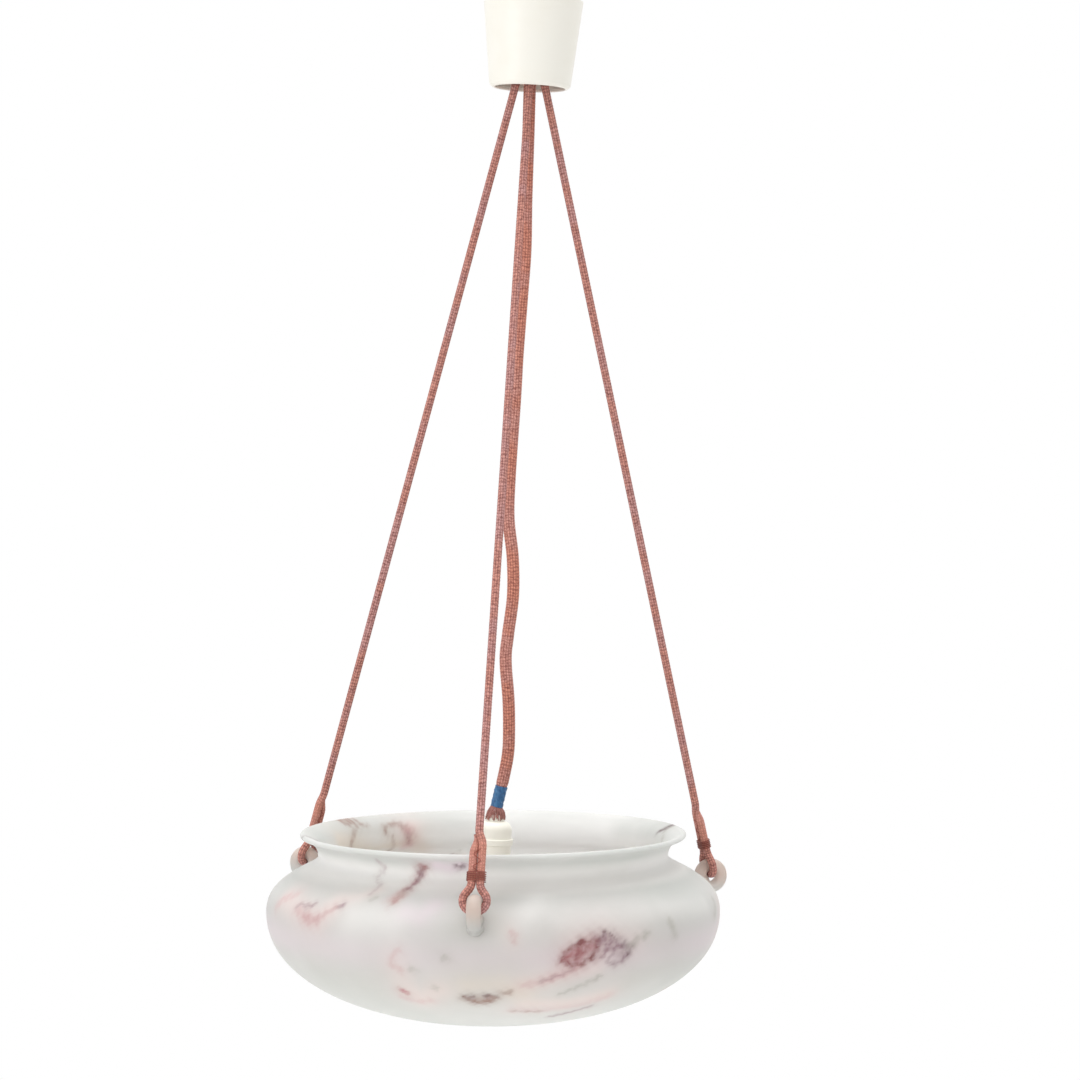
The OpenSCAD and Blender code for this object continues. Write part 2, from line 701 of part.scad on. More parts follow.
bulb_cap_z = shell_inner_top_z - shell_wall - 3;
bulb_tip_h = 1.6;
module centre_contact() {
  color("goldenrod") at_holder(bulb_cap_z + bulb_tip_h + touch) union() {
    cylinder(h = 0.6, d = 4.4);
    cylinder(h = insert_top_z - bulb_cap_z - bulb_tip_h - touch - 1, d = 2);
  }
}

// Bulb: contact, screw cap, glass, stem and filament
bulb_low_z = bulb_cap_z - bulb_cap_h;
bulb_cap_d = shell_d - 2 * shell_wall - 2 * shell_gap;
module bulb_contact() {
  color("silver") at_holder(bulb_cap_z) cylinder(h = bulb_tip_h, d1 = 6, d2 = 3.5);
}

module bulb_cap() {
  wall = 0.6;
  color("silver") at_holder(bulb_low_z) rotate_extrude() polygon([
    [bulb_cap_d / 2 - wall, 0], [bulb_cap_d / 2, 0], [bulb_cap_d / 2, bulb_cap_h - 4],
    [3.4, bulb_cap_h - touch], [0, bulb_cap_h - touch], [0, bulb_cap_h - 1],
    [3, bulb_cap_h - 1], [bulb_cap_d / 2 - wall, bulb_cap_h - 4.6]
  ]);
}

bulb_r = bulb_d / 2;
bulb_centre_z = bulb_low_z - bulb_neck_h;
neck_in_r = bulb_cap_d / 2 - 0.6 - touch;
bulb_line = concat(
  [[neck_in_r, bulb_neck_h + 3], [neck_in_r, bulb_neck_h]],
  bezier([neck_in_r, bulb_neck_h - touch], [neck_in_r, bulb_neck_h - 10],
    [bulb_r * cos(35) - 3, bulb_r * sin(35) + 5], [bulb_r * cos(35), bulb_r * sin(35)], 8),
  [for (i = [1:14]) let (a = 35 - 125 * i / 14) bulb_r * [cos(a), sin(a)]]
);
bulb_inside = [
  for (i = [0:len(bulb_line) - 1]) let (
      last = len(bulb_line) - 1,
      d = i == last ? [-1, 0] : i == 0 ? [0, -1]
        : unit(bulb_line[i + 1] - bulb_line[i - 1])
    ) bulb_line[i] + bulb_wall * (i == last ? [0, 1] : [d[1], -d[0]])
];
module bulb_glass() {
  color([1, 1, 1, 0.5]) at_holder(bulb_centre_z)
    rotate_extrude() polygon(concat(bulb_line, reversed(bulb_inside)));
}

stem_r = neck_in_r - bulb_wall - running;
stem_h = 22;
module bulb_stem() {
  color("lightgray") at_holder(bulb_low_z + 2 - stem_h) rotate_extrude() polygon([
    [0, 0], [1.2, 0], [1.2, stem_h - 10], [3, stem_h - 4], [stem_r, stem_h], [0, stem_h]
  ]);
}

// The filament's coil lies between two posts that stand in the stem's shoulder
module filament() {
  post_x = 6;
  coil_z = bulb_low_z - stem_h - 2;
  post_top_z = bulb_low_z - stem_h + 10;
  color("dimgray") translate([holder_x, flex_back, 0]) union() {
    for (side = [-1, 1]) rod([side * post_x, 0, coil_z], [side * 1.5, 0, post_top_z], 0.6);
    translate([-post_x, 0, coil_z]) rotate([0, 90, 0]) cylinder(h = 2 * post_x, d = 1);
  }
}

ceiling_plate();
ceiling_hook();
hook_nut();
terminal_block();
block_screw();
terminal_clamps();
terminal_screws();
cup();
cup_screw();
cup_nut();
suspension_link();
cord_front();
cord_right();
cord_left();
whipping_front();
whipping_right();
whipping_left();
ear_front();
ear_right();
ear_left();
glass_bowl();
flex_cores();
flex();
tape_sleeve();
core_tails();
holder_cap();
holder_ring();
holder_body();
holder_insert();
grip_screw();
contact_screws();
screw_shell();
centre_contact();
bulb_contact();
bulb_cap();
bulb_glass();
bulb_stem();
filament();
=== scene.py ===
"""Dresses the glass bowl light: braided cords, veined frosted glass, flex and fittings.

Lengths are in metres and angles in degrees unless a name says otherwise. The origin is
the centre of the ceiling plate's upper face, +Z is up and -Y is the front.
"""

import logging
import math
from dataclasses import dataclass, field
from enum import Enum
from typing import Callable, Optional, Sequence

import bpy
import numpy as np
from mathutils import Matrix


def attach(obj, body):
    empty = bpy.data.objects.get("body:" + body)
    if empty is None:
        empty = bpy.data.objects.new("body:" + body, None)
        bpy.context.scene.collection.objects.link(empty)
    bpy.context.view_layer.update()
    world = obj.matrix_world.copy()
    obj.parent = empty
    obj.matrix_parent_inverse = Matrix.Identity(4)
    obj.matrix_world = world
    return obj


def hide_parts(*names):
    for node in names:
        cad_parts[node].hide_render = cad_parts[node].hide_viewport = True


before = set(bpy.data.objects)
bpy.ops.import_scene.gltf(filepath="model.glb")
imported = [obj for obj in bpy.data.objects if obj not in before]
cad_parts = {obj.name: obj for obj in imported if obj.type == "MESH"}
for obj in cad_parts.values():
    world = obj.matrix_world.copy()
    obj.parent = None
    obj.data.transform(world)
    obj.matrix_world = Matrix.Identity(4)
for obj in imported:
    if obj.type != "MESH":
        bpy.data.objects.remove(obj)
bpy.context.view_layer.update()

log = logging.getLogger("bowl_light")

MM = 0.001
SEED = 7
SPAN_STEPS = 24
UP = np.array([0.0, 0.0, 1.0])
ACROSS = np.array([1.0, 0.0, 0.0])
BACK = np.array([0.0, 1.0, 0.0])

Colour = tuple[float, float, float]
Place = tuple[float, float, float]
Pairs = tuple[tuple[float, float], ...]
Relief = Callable[[np.ndarray, np.ndarray], np.ndarray]


def srgb(red: int, green: int, blue: int) -> Colour:
    """Turns a colour written as 0 to 255 into the linear values that shaders take.

    Args:
        red: Red from 0 to 255.
        green: Green from 0 to 255.
        blue: Blue from 0 to 255.

    Returns:
        The linear colour.
    """
    def linear(value: int) -> float:
        """Returns one channel as linear light."""
        share = value / 255
        return share / 12.92 if share <= 0.04045 else ((share + 0.055) / 1.055) ** 2.4

    return linear(red), linear(green), linear(blue)


def unit(vector: np.ndarray) -> np.ndarray:
    """Returns the vector at length one."""
    return vector / np.linalg.norm(vector)


def across(vector: np.ndarray, axis: np.ndarray) -> np.ndarray:
    """Returns the part of a vector that lies square to an axis of length one."""
    return vector - (vector @ axis) * axis


def ease(share: np.ndarray | float) -> np.ndarray | float:
    """Returns a share from 0 to 1 with a soft start and end."""
    share = np.clip(share, 0, 1)
    return share * share * (3 - 2 * share)


def window(value: np.ndarray, start: float, rise: float, end: float,
           fall: float) -> np.ndarray:
    """Gives a share that rises softly from 0 to 1 and later falls back to 0.

    Args:
        value: The values to look at.
        start: Where the share leaves 0.
        rise: How far past the start it reaches 1.
        end: Where it is back at 0.
        fall: How far before the end it leaves 1.

    Returns:
        The share at each value.
    """
    return ease((value - start) / rise) * ease((end - value) / fall)


def line_length(points: np.ndarray) -> float:
    """Returns the length of a line of points."""
    return float(np.linalg.norm(np.diff(points, axis=0), axis=1).sum())


def runs_along(points: np.ndarray) -> np.ndarray:
    """Returns the length along a line from its start to each of its points."""
    return np.concatenate([[0], np.cumsum(np.linalg.norm(np.diff(points, axis=0), axis=1))])


def even_line(points: np.ndarray, step: float) -> np.ndarray:
    """Lays new points along a line at even steps.

    Args:
        points: The line's points.
        step: The wanted distance between new points.

    Returns:
        The new points, with both ends kept.
    """
    lengths = runs_along(points)
    count = max(2, int(round(lengths[-1] / step)) + 1)
    at = np.linspace(0, lengths[-1], count)
    return np.stack([np.interp(at, lengths, column) for column in points.T], axis=1)


def smooth_line(points: Sequence[Place], step: float) -> np.ndarray:
    """Draws a smooth line through hand-placed points.

    Args:
        points: The points that the line passes through.
        step: The wanted distance between the points of the result.

    Returns:
        The line's points at even steps.
    """
    p = np.array(points, float)
    p = np.concatenate([[2 * p[0] - p[1]], p, [2 * p[-1] - p[-2]]])
    t = np.linspace(0, 1, SPAN_STEPS, endpoint=False)[:, None]
    runs = []
    for a, b, c, d in zip(p, p[1:], p[2:], p[3:]):
        runs.append(0.5 * (2 * b + (c - a) * t + (2 * a - 5 * b + 4 * c - d) * t ** 2
                           + (3 * b - a - 3 * c + d) * t ** 3))
    runs.append(p[-2][None])
    return even_line(np.concatenate(runs), step)


def carried_frames(points: np.ndarray, hint: np.ndarray) -> tuple[np.ndarray, np.ndarray]:
    """Carries a cross direction along a line without twist.

    Args:
        points: The line's points.
        hint: A direction that isn't along the line's start.

    Returns:
        Two directions square to the line at each point.
    """
    along = np.gradient(points, axis=0)
    along /= np.linalg.norm(along, axis=1)[:, None]
    first = np.empty_like(points)
    side = unit(across(hint, along[0]))
    for i, direction in enumerate(along):
        side = unit(across(side, direction))
        first[i] = side
    return first, np.cross(along, first)


def into_scene(name: str, data: bpy.types.ID) -> bpy.types.Object:
    """Puts a mesh, a lamp or a camera into the scene.

    Args:
        name: The object's name.
        data: What the object shows.

    Returns:
        The new object.
    """
    made = bpy.data.objects.new(name, data)
    bpy.context.scene.collection.objects.link(made)
    return made


def placed(place: Place, right: np.ndarray, above: np.ndarray, back: np.ndarray) -> Matrix:
    """Returns the matrix that lays an object's own axes along three directions."""
    turn = Matrix(np.stack([right, above, back], axis=1).tolist()).to_4x4()
    return Matrix.Translation(place) @ turn


def mesh_piece(name: str, points: np.ndarray,
               faces: Sequence[Sequence[int]]) -> bpy.types.Object:
    """Makes a smoothly shaded mesh object in the scene.

    Args:
        name: The piece's name.
        points: The corner points.
        faces: The corner numbers of each face.

    Returns:
        The new object.
    """
    mesh = bpy.data.meshes.new(name)
    mesh.from_pydata(np.asarray(points, float).tolist(), [], [tuple(f) for f in faces])
    mesh.validate()
    mesh.update()
    mesh.shade_smooth()
    return into_scene(name, mesh)


def points_of(piece: bpy.types.Object) -> np.ndarray:
    """Returns the points of a mesh object, one in each row.

    Args:
        piece: The mesh object.

    Returns:
        The points.
    """
    flat = np.empty(len(piece.data.vertices) * 3)
    piece.data.vertices.foreach_get("co", flat)
    return flat.reshape(-1, 3)


def store(piece: bpy.types.Object, name: str, values: np.ndarray) -> None:
    """Stores a value or a colour with each point of a mesh.

    Args:
        piece: The mesh object.
        name: The name that the finishes read it by.
        values: One value, or the four parts of a colour, for each point.
    """
    kind, part = ("FLOAT_COLOR", "color") if values.ndim == 2 else ("FLOAT", "value")
    layer = piece.data.attributes.new(name, kind, "POINT")
    layer.data.foreach_set(part, values.astype(np.float32).ravel())


def grid_faces(rows: int, columns: int, offset: int = 0) -> np.ndarray:
    """Returns the quads of a grid whose columns close into a ring.

    Args:
        rows: The number of rings.
        columns: The number of points in a ring.
        offset: The number of the grid's first point.

    Returns:
        An array of four corner numbers per face.
    """
    row = np.arange(rows - 1)[:, None] * columns
    col = np.arange(columns)[None]
    after = (col + 1) % columns
    quads = np.stack([row + col, row + after, row + columns + after, row + columns + col], -1)
    return quads.reshape(-1, 4) + offset

def tube_faces(rings: int, sides: int) -> list[Sequence[int]]:
    """Returns the faces of a tube whose ends close on two points after the rings.

    Args:
        rings: The number of rings.
        sides: The number of points in a ring.

    Returns:
        The wall's quads, then the triangles of the first end and of the last.
    """
    low, high, last = rings * sides, rings * sides + 1, (rings - 1) * sides
    turn = [(i, (i + 1) % sides) for i in range(sides)]
    return [*grid_faces(rings, sides), *((low, b, a) for a, b in turn),
            *((high, last + a, last + b) for a, b in turn)]


def bake_modifiers(piece: bpy.types.Object) -> None:
    """Replaces a piece's mesh by what its modifiers make of it.

    Args:
        piece: The piece, which loses its modifiers.
    """
    bpy.context.view_layer.update()
    graph = bpy.context.evaluated_depsgraph_get()
    made = bpy.data.meshes.new_from_object(piece.evaluated_get(graph))
    piece.modifiers.clear()
    piece.data = made


def joined(name: str, pieces: Sequence[bpy.types.Object]) -> bpy.types.Object:
    """Joins plain meshes into one new piece.

    Args:
        name: The new piece's name.
        pieces: The meshes, which are removed.

    Returns:
        The joined piece.
    """
    points, faces, lay, count = [], [], [], 0
    for piece in pieces:
        data = piece.data
        points.extend(v.co[:] for v in data.vertices)
        faces.extend(tuple(i + count for i in p.vertices) for p in data.polygons)
        if "lay" in data.uv_layers:
            lay.extend(c for loop in data.uv_layers["lay"].data for c in loop.uv)
        count += len(data.vertices)
        bpy.data.objects.remove(piece)
    made = mesh_piece(name, np.array(points), faces)
    if lay:
        made.data.uv_layers.new(name="lay").data.foreach_set("uv", lay)
    return made


@dataclass
class Sweep:
    """A tube that follows a line, closed at both ends."""

    line: np.ndarray
    radius: float | np.ndarray
    sides: int = 16
    hint: np.ndarray = field(default_factory=lambda: BACK)
    relief: Optional[Relief] = None

    def build(self, name: str) -> bpy.types.Object:
        """Makes the tube with its lay, the map of turn and length that braids use.

        Args:
            name: The piece's name.

        Returns:
            The tube.
        """
        rings = len(self.line)
        first, second = carried_frames(self.line, self.hint)
        along = runs_along(self.line)
        around = np.arange(self.sides) / self.sides
        angle = 2 * np.pi * around
        radius = np.broadcast_to(np.asarray(self.radius, float), (rings,))[:, None]
        reach = np.repeat(radius, self.sides, axis=1)
        if self.relief is not None:
            reach = reach + self.relief(around[None], along[:, None]) * (radius / radius.max())
        ring = (np.cos(angle)[None, :, None] * first[:, None]
                + np.sin(angle)[None, :, None] * second[:, None])
        points = (self.line[:, None] + reach[..., None] * ring).reshape(-1, 3)
        points = np.concatenate([points, self.line[:1], self.line[-1:]])
        piece = mesh_piece(name, points, tube_faces(rings, self.sides))
        piece.data.uv_layers.new(name="lay").data.foreach_set("uv", self.lay(along))
        return piece

    def lay(self, along: np.ndarray) -> np.ndarray:
        """Works out the turn and length at every corner of every face.

        Args:
            along: The length along the line at each ring.

        Returns:
            The turn and length of each corner, one pair after the other.
        """
        columns = np.tile(np.arange(self.sides), len(along) - 1)
        rows = np.repeat(np.arange(len(along) - 1), self.sides)
        turn = np.stack([columns, columns + 1, columns + 1, columns], -1) / self.sides
        length = np.stack([along[rows], along[rows], along[rows + 1], along[rows + 1]], -1)
        ends = [(0.0, along[end]) for end in (0, -1) for _ in range(3 * self.sides)]
        pairs = np.concatenate([np.stack([turn, length], -1).reshape(-1, 2), ends])
        return pairs.astype(np.float32).ravel()


@dataclass(frozen=True)
class Braid:
    """A tubular braid of crossing strands."""

    strands: int
    cell: float
    depth: float

    def relief(self, around: np.ndarray, along: np.ndarray) -> np.ndarray:
        """Gives the height of the braid over its tube.

        Args:
            around: Place round the tube, from 0 to 1.
            along: Place along the tube.

        Returns:
            The height at each place.
        """
        right = self.strands * around + along / self.cell
        left = self.strands * around - along / self.cell
        over = (np.floor(right) + np.floor(left)) % 2 < 0.5
        width = np.where(over, right % 1, left % 1)
        length = np.where(over, left % 1, right % 1)
        crown = np.sqrt(np.clip(1 - (2 * width - 1) ** 2, 0, 1))
        return self.depth * (crown * (0.5 + 0.5 * np.sin(np.pi * length)) - 0.8)


class Blend(Enum):
    """What a mix node mixes: its type, and its low, high and result sockets."""

    NUMBER = ("FLOAT", 2, 3, 0)
    COLOUR = ("RGBA", 6, 7, 2)


class Recipe:
    """Lays out the nodes of one material."""

    def __init__(self, name: str) -> None:
        """Starts a material with its one surface shader.

        Args:
            name: The material's name.
        """
        self.material = bpy.data.materials.new(name)
        self.material.use_nodes = True
        self.tree = self.material.node_tree
        self.shader = self.tree.nodes["Principled BSDF"]

    def put(self, target: bpy.types.NodeSocket, value: object) -> None:
        """Links a socket to a target, or sets the target to a number or colour.

        Args:
            target: The input to fill.
            value: An output socket, a number or a colour.
        """
        if isinstance(value, bpy.types.NodeSocket):
            self.tree.links.new(value, target)
        elif isinstance(value, tuple) and len(value) == 3 and target.type == "RGBA":
            target.default_value = (*value, 1.0)
        else:
            target.default_value = value

    def set(self, **values: object) -> None:
        """Fills inputs of the surface shader, named with underscores for spaces."""
        for name, value in values.items():
            self.put(self.shader.inputs[name.replace("_", " ")], value)

    def node(self, kind: str, **settings: object) -> bpy.types.Node:
        """Adds a node and sets its options.

        Args:
            kind: The node's type without the ShaderNode at its front.
            settings: The node's own options.

        Returns:
            The node.
        """
        made = self.tree.nodes.new("ShaderNode" + kind)
        for name, value in settings.items():
            setattr(made, name, value)
        return made

    def math(self, operation: str, *values: object) -> bpy.types.NodeSocket:
        """Adds one sum.

        Args:
            operation: The name of the sum.
            values: The numbers or sockets that go into it.

        Returns:
            The sum's result.
        """
        made = self.node("Math", operation=operation)
        for target, value in zip(made.inputs, values):
            self.put(target, value)
        return made.outputs[0]

    def place(self) -> bpy.types.NodeSocket:
        """Returns the place on the object, in metres."""
        return self.node("TexCoord").outputs["Object"]

    def stretched(self, scale: Place) -> bpy.types.NodeSocket:
        """Stretches the place on the object along its axes.

        Args:
            scale: The stretch along each axis.

        Returns:
            The stretched place.
        """
        made = self.node("Mapping")
        self.put(made.inputs["Vector"], self.place())
        made.inputs["Scale"].default_value = scale
        return made.outputs[0]

    def split(self, vector: bpy.types.NodeSocket) -> Sequence[bpy.types.NodeSocket]:
        """Takes a vector apart.

        Args:
            vector: The vector.

        Returns:
            Its three numbers.
        """
        made = self.node("SeparateXYZ")
        self.put(made.inputs[0], vector)
        return made.outputs[0], made.outputs[1], made.outputs[2]

    def lay(self) -> Sequence[bpy.types.NodeSocket]:
        """Returns the turn round a swept tube and the length along it."""
        return self.split(self.node("UVMap", uv_map="lay").outputs[0])[:2]

    def noise(self, scale: float, detail: float = 3.0, rough: float = 0.55,
              where: Optional[bpy.types.NodeSocket] = None,
              warp: float = 0.0) -> bpy.types.NodeSocket:
        """Adds cloudy noise.

        Args:
            scale: Blobs per metre.
            detail: The number of finer layers.
            rough: The strength of the finer layers.
            where: The coordinates, or none for the place on the object.
            warp: How far the noise bends itself.

        Returns:
            The noise from 0 to 1.
        """
        made = self.node("TexNoise")
        self.put(made.inputs["Vector"], self.place() if where is None else where)
        made.inputs["Scale"].default_value = scale
        made.inputs["Detail"].default_value = detail
        made.inputs["Roughness"].default_value = rough
        made.inputs["Distortion"].default_value = warp
        return made.outputs[0]

    def blend(self, kind: Blend, share: object, low: object,
              high: object) -> bpy.types.NodeSocket:
        """Mixes two numbers or colours.

        Args:
            kind: What is mixed.
            share: The share of the high one, from 0 to 1.
            low: The result where the share is 0.
            high: The result where the share is 1.

        Returns:
            The mixed value.
        """
        data_type, low_place, high_place, result = kind.value
        made = self.node("Mix", data_type=data_type)
        self.put(made.inputs[0], share)
        self.put(made.inputs[low_place], low)
        self.put(made.inputs[high_place], high)
        return made.outputs[result]

    def mix(self, share: object, low: object, high: object) -> bpy.types.NodeSocket:
        """Mixes two colours by a share from 0 to 1."""
        return self.blend(Blend.COLOUR, share, low, high)

    def choose(self, share: object, low: object, high: object) -> bpy.types.NodeSocket:
        """Returns the low number where share is 0 and the high one where it is 1."""
        return self.blend(Blend.NUMBER, share, low, high)

    def between(self, value: bpy.types.NodeSocket, low: float, high: float,
                to_low: float = 0.0, to_high: float = 1.0) -> bpy.types.NodeSocket:
        """Maps a range of a value softly on to another range, and holds it there.

        Args:
            value: The value to map.
            low: The start of its range.
            high: The end of its range.
            to_low: The result at the start.
            to_high: The result at the end.

        Returns:
            The mapped value.
        """
        made = self.node("MapRange", interpolation_type="SMOOTHSTEP")
        self.put(made.inputs["Value"], value)
        for name, number in (("From Min", low), ("From Max", high),
                             ("To Min", to_low), ("To Max", to_high)):
            made.inputs[name].default_value = number
        return made.outputs[0]

    def bump(self, height: bpy.types.NodeSocket, distance: float,
             strength: float = 1.0) -> bpy.types.NodeSocket:
        """Turns a height into a bumped normal.

        Args:
            height: The height, from 0 to 1.
            distance: The depth that a height of 1 stands for, in metres.
            strength: The share of the bump that shows.

        Returns:
            The normal.
        """
        made = self.node("Bump")
        made.inputs["Strength"].default_value = strength
        made.inputs["Distance"].default_value = distance
        self.put(made.inputs["Height"], height)
        return made.outputs[0]

    def attribute(self, name: str, output: str = "Fac") -> bpy.types.NodeSocket:
        """Returns a value or colour that is stored on the mesh."""
        return self.node("Attribute", attribute_name=name).outputs[output]


@dataclass(frozen=True)
class BraidFinish:
    """Braided yarn: light strands one way, dark strands the other, worn patches, and painted shade
    in the valleys.
    """

    name: str
    light: Colour
    dark: Colour
    rose: Colour
    plain: Colour
    braid: Braid
    drift: float = 0.4
    under_share: float = 0.44
    valley_shade_share: float = 0.4
    fibre_depth: float = 0.25 * MM

    def weave(self, r: Recipe) -> tuple[bpy.types.NodeSocket, ...]:
        """Works out the crossing strands, as Braid.relief does for the mesh.

        Args:
            r: The material's recipe.

        Returns:
            Whether a dark strand is on top, and the place across and along the upper strand.
        """
        around, along = r.lay()
        turn = r.math("MULTIPLY", around, float(self.braid.strands))
        drift = r.between(r.noise(150.0, 2), 0.25, 0.75, -self.drift, self.drift)
        length = r.math("ADD", r.math("DIVIDE", along, self.braid.cell), drift)
        right = r.math("ADD", turn, length)
        left = r.math("SUBTRACT", turn, length)
        parity = r.math("FLOORED_MODULO",
                        r.math("ADD", r.math("FLOOR", right), r.math("FLOOR", left)), 2.0)
        under = r.math("GREATER_THAN", parity, 0.5)
        width = r.choose(under, r.math("FRACT", right), r.math("FRACT", left))
        return under, width, r.choose(under, left, right)

    def make(self) -> bpy.types.Material:
        """Builds the material.

        Returns:
            The material, which reads the lay that Sweep makes.
        """
        r = Recipe(self.name)
        under, width, lean = self.weave(r)
        crown = r.math("SINE", r.math("MULTIPLY", width, math.pi))
        yarn = r.node("CombineXYZ")
        r.put(yarn.inputs[0], r.math("MULTIPLY", width, 3.0))
        r.put(yarn.inputs[1], r.math("MULTIPLY", lean, 0.5))
        fibre = r.noise(4.0, 4, 0.6, yarn.outputs[0])
        patch = r.noise(38.0, 3, 0.6)
        fleck = r.noise(420.0, 2, 0.6)
        light = r.mix(r.between(patch, 0.42, 0.62), self.light, self.rose)
        mixed = r.math("ADD", r.math("MULTIPLY", under, self.under_share),
                       r.between(fleck, 0.32, 0.68, 0.08, 0.46))
        base = r.mix(mixed, light, self.dark)
        base = r.mix(r.attribute("plain_share"), base, self.plain)
        # Painted shade: the valleys between the strands are darkened.
        valley = tuple(self.valley_shade_share * c for c in self.dark)
        base = r.mix(r.between(crown, 0.05, 0.6, 0.4, 0.0), base, valley)
        base = r.mix(r.between(fibre, 0.35, 0.8, 0.0, 0.3), base, self.rose)
        r.set(Base_Color=base, Roughness=0.8, Sheen_Weight=0.3, Sheen_Roughness=0.45,
              Sheen_Tint=self.rose, Specular_IOR_Level=0.25,
              Normal=r.bump(fibre, self.fibre_depth))
        return r.material


@dataclass(frozen=True)
class PlasticFinish:
    """Moulded plastic or fired clay with a soft gloss, aged clouds and a fine grain."""

    name: str
    colour: Colour
    roughness: float = 0.38
    aged: Colour = srgb(226, 214, 184)
    aged_share: float = 0.12
    grain: float = 0.02 * MM

    def make(self) -> bpy.types.Material:
        """Builds the material.

        Returns:
            The material.
        """
        r = Recipe(self.name)
        cloud = r.noise(22.0, 4)
        fine = r.noise(1900.0, 2)
        colour = r.mix(r.between(cloud, 0.35, 0.75, 0.0, self.aged_share),
                       self.colour, self.aged)
        rough = r.between(r.noise(160.0, 3), 0.3, 0.7, self.roughness - 0.06,
                          self.roughness + 0.08)
        r.set(Base_Color=colour, Roughness=rough, Normal=r.bump(fine, self.grain))
        return r.material


@dataclass(frozen=True)
class MetalFinish:
    """Plated or pressed metal with faint scratches and dull patches."""

    name: str
    colour: Colour
    dull: Colour
    roughness: float = 0.3
    drawn: Place = (90.0, 90.0, 1400.0)

    def make(self) -> bpy.types.Material:
        """Builds the material.

        Returns:
            The material.
        """
        r = Recipe(self.name)
        patch = r.noise(130.0, 4, 0.6)
        lines = r.noise(1.0, 3, 0.6, r.stretched(self.drawn))
        colour = r.mix(r.between(patch, 0.42, 0.72), self.colour, self.dull)
        rough = r.between(patch, 0.3, 0.7, self.roughness - 0.08, self.roughness + 0.16)
        r.set(Base_Color=colour, Metallic=1.0, Roughness=rough,
              Normal=r.bump(lines, 0.03 * MM, 0.5))
        return r.material


@dataclass(frozen=True)
class ThreadFinish:
    """Waxed twisted thread, with painted shade in the grooves between its plies."""

    name: str
    colour: Colour
    light: Colour
    plies: float = 3.0
    twists: float = 900.0

    def make(self) -> bpy.types.Material:
        """Builds the material.

        Returns:
            The material, which reads the lay that Sweep makes.
        """
        r = Recipe(self.name)
        around, along = r.lay()
        twist = r.math("ADD", r.math("MULTIPLY", around, self.plies),
                       r.math("MULTIPLY", along, self.twists))
        ply = r.math("SINE", r.math("MULTIPLY", r.math("FRACT", twist), math.pi))
        # Painted shade: the grooves between the plies take the dark colour, the crowns the light
        # one.
        colour = r.mix(r.between(ply, 0.2, 0.95), self.colour, self.light)
        colour = r.mix(r.between(r.noise(260.0, 3), 0.4, 0.7, 0.0, 0.4), colour, self.colour)
        r.set(Base_Color=colour, Roughness=0.6, Sheen_Weight=0.15,
              Normal=r.bump(ply, 0.12 * MM))
        return r.material


@dataclass(frozen=True)
class GlassFinish:
    """Milky frosted glass that light seeps through, with veins and painted light and shade on the
    mesh.
    """

    name: str
    colour: Colour
    cloud: Colour
    roughness: float = 0.55
    clear: float = 0.12
    milk: float = 0.85
    veined: bool = True
    # On the bowl this is the colour of the painted light on its shaded inside and neck; on an ear
    # it is the foot's colour.
    milky: Colour = srgb(253, 252, 249)
    foot_low: float = -690 * MM
    foot_high: float = -673 * MM
    seep: float = 20 * MM

    def veins(self, r: Recipe, colour: bpy.types.NodeSocket) -> bpy.types.NodeSocket:
        """Adds the painted light of the inside and neck, the clouds with their painted shade, and
        the veins that are stored on the bowl.

        Args:
            r: The material's recipe.
            colour: The glass without them.

        Returns:
            The glass with them.
        """
        # Painted light: lightens the bowl's inside and neck, where they lie in shade.
        colour = r.mix(r.attribute("painted_light_share"), colour, self.milky)
        # The clouds include the painted shade of the shaded patches.
        colour = r.mix(r.attribute("cloud_amount"), colour, r.attribute("cloud_colour", "Color"))
        lace = r.noise(150.0, 2, 0.5, warp=0.4)
        broken = r.between(lace, 0.28, 0.68, 0.74, 1.08)
        share = r.math("MULTIPLY", r.attribute("vein_amount"), broken)
        return r.mix(r.math("MINIMUM", share, 0.96), colour, r.attribute("vein_colour", "Color"))

    def make(self) -> bpy.types.Material:
        """Builds the material.

        Returns:
            The material, with veins or with a milky foot.
        """
        r = Recipe(self.name)
        soft = r.noise(9.0, 4, warp=0.6)
        streak = r.noise(1.0, 4, 0.6, r.stretched((14.0, 14.0, 60.0)), 0.8)
        colour = r.mix(r.between(soft, 0.36, 0.66), self.colour, self.cloud)
        colour = r.mix(r.between(streak, 0.48, 0.72, 0.0, 0.45), colour, self.cloud)
        if self.veined:
            colour = self.veins(r, colour)
        else:
            _, _, height = r.split(r.place())
            colour = r.mix(r.between(height, self.foot_low, self.foot_high, 1.0, 0.0),
                           colour, self.milky)
        fine = r.noise(310.0, warp=2.0)
        wave = r.noise(24.0, 2)
        swell = r.math("ADD", r.math("MULTIPLY", wave, 0.9), r.math("MULTIPLY", fine, 0.02))
        r.set(Base_Color=colour, Roughness=self.roughness, IOR=1.45, Specular_IOR_Level=0.3,
              Transmission_Weight=self.clear, Subsurface_Weight=self.milk,
              Subsurface_Scale=1.0, Normal=r.bump(swell, 0.6 * MM, 0.6))
        r.shader.inputs["Subsurface Radius"].default_value = (self.seep,) * 3
        return r.material


@dataclass(frozen=True)
class TapeFinish:
    """Wound insulating tape with creases that carry painted shade."""

    name: str
    colour: Colour
    dark: Colour

    def make(self) -> bpy.types.Material:
        """Builds the material.

        Returns:
            The material.
        """
        r = Recipe(self.name)
        crease = r.noise(1.0, 4, 0.6, r.stretched((420.0, 420.0, 180.0)), 0.5)
        # Painted shade: the creases are darkened.
        colour = r.mix(r.between(crease, 0.3, 0.7), self.colour, self.dark)
        r.set(Base_Color=colour, Roughness=0.42, Normal=r.bump(crease, 0.25 * MM, 0.7))
        return r.material


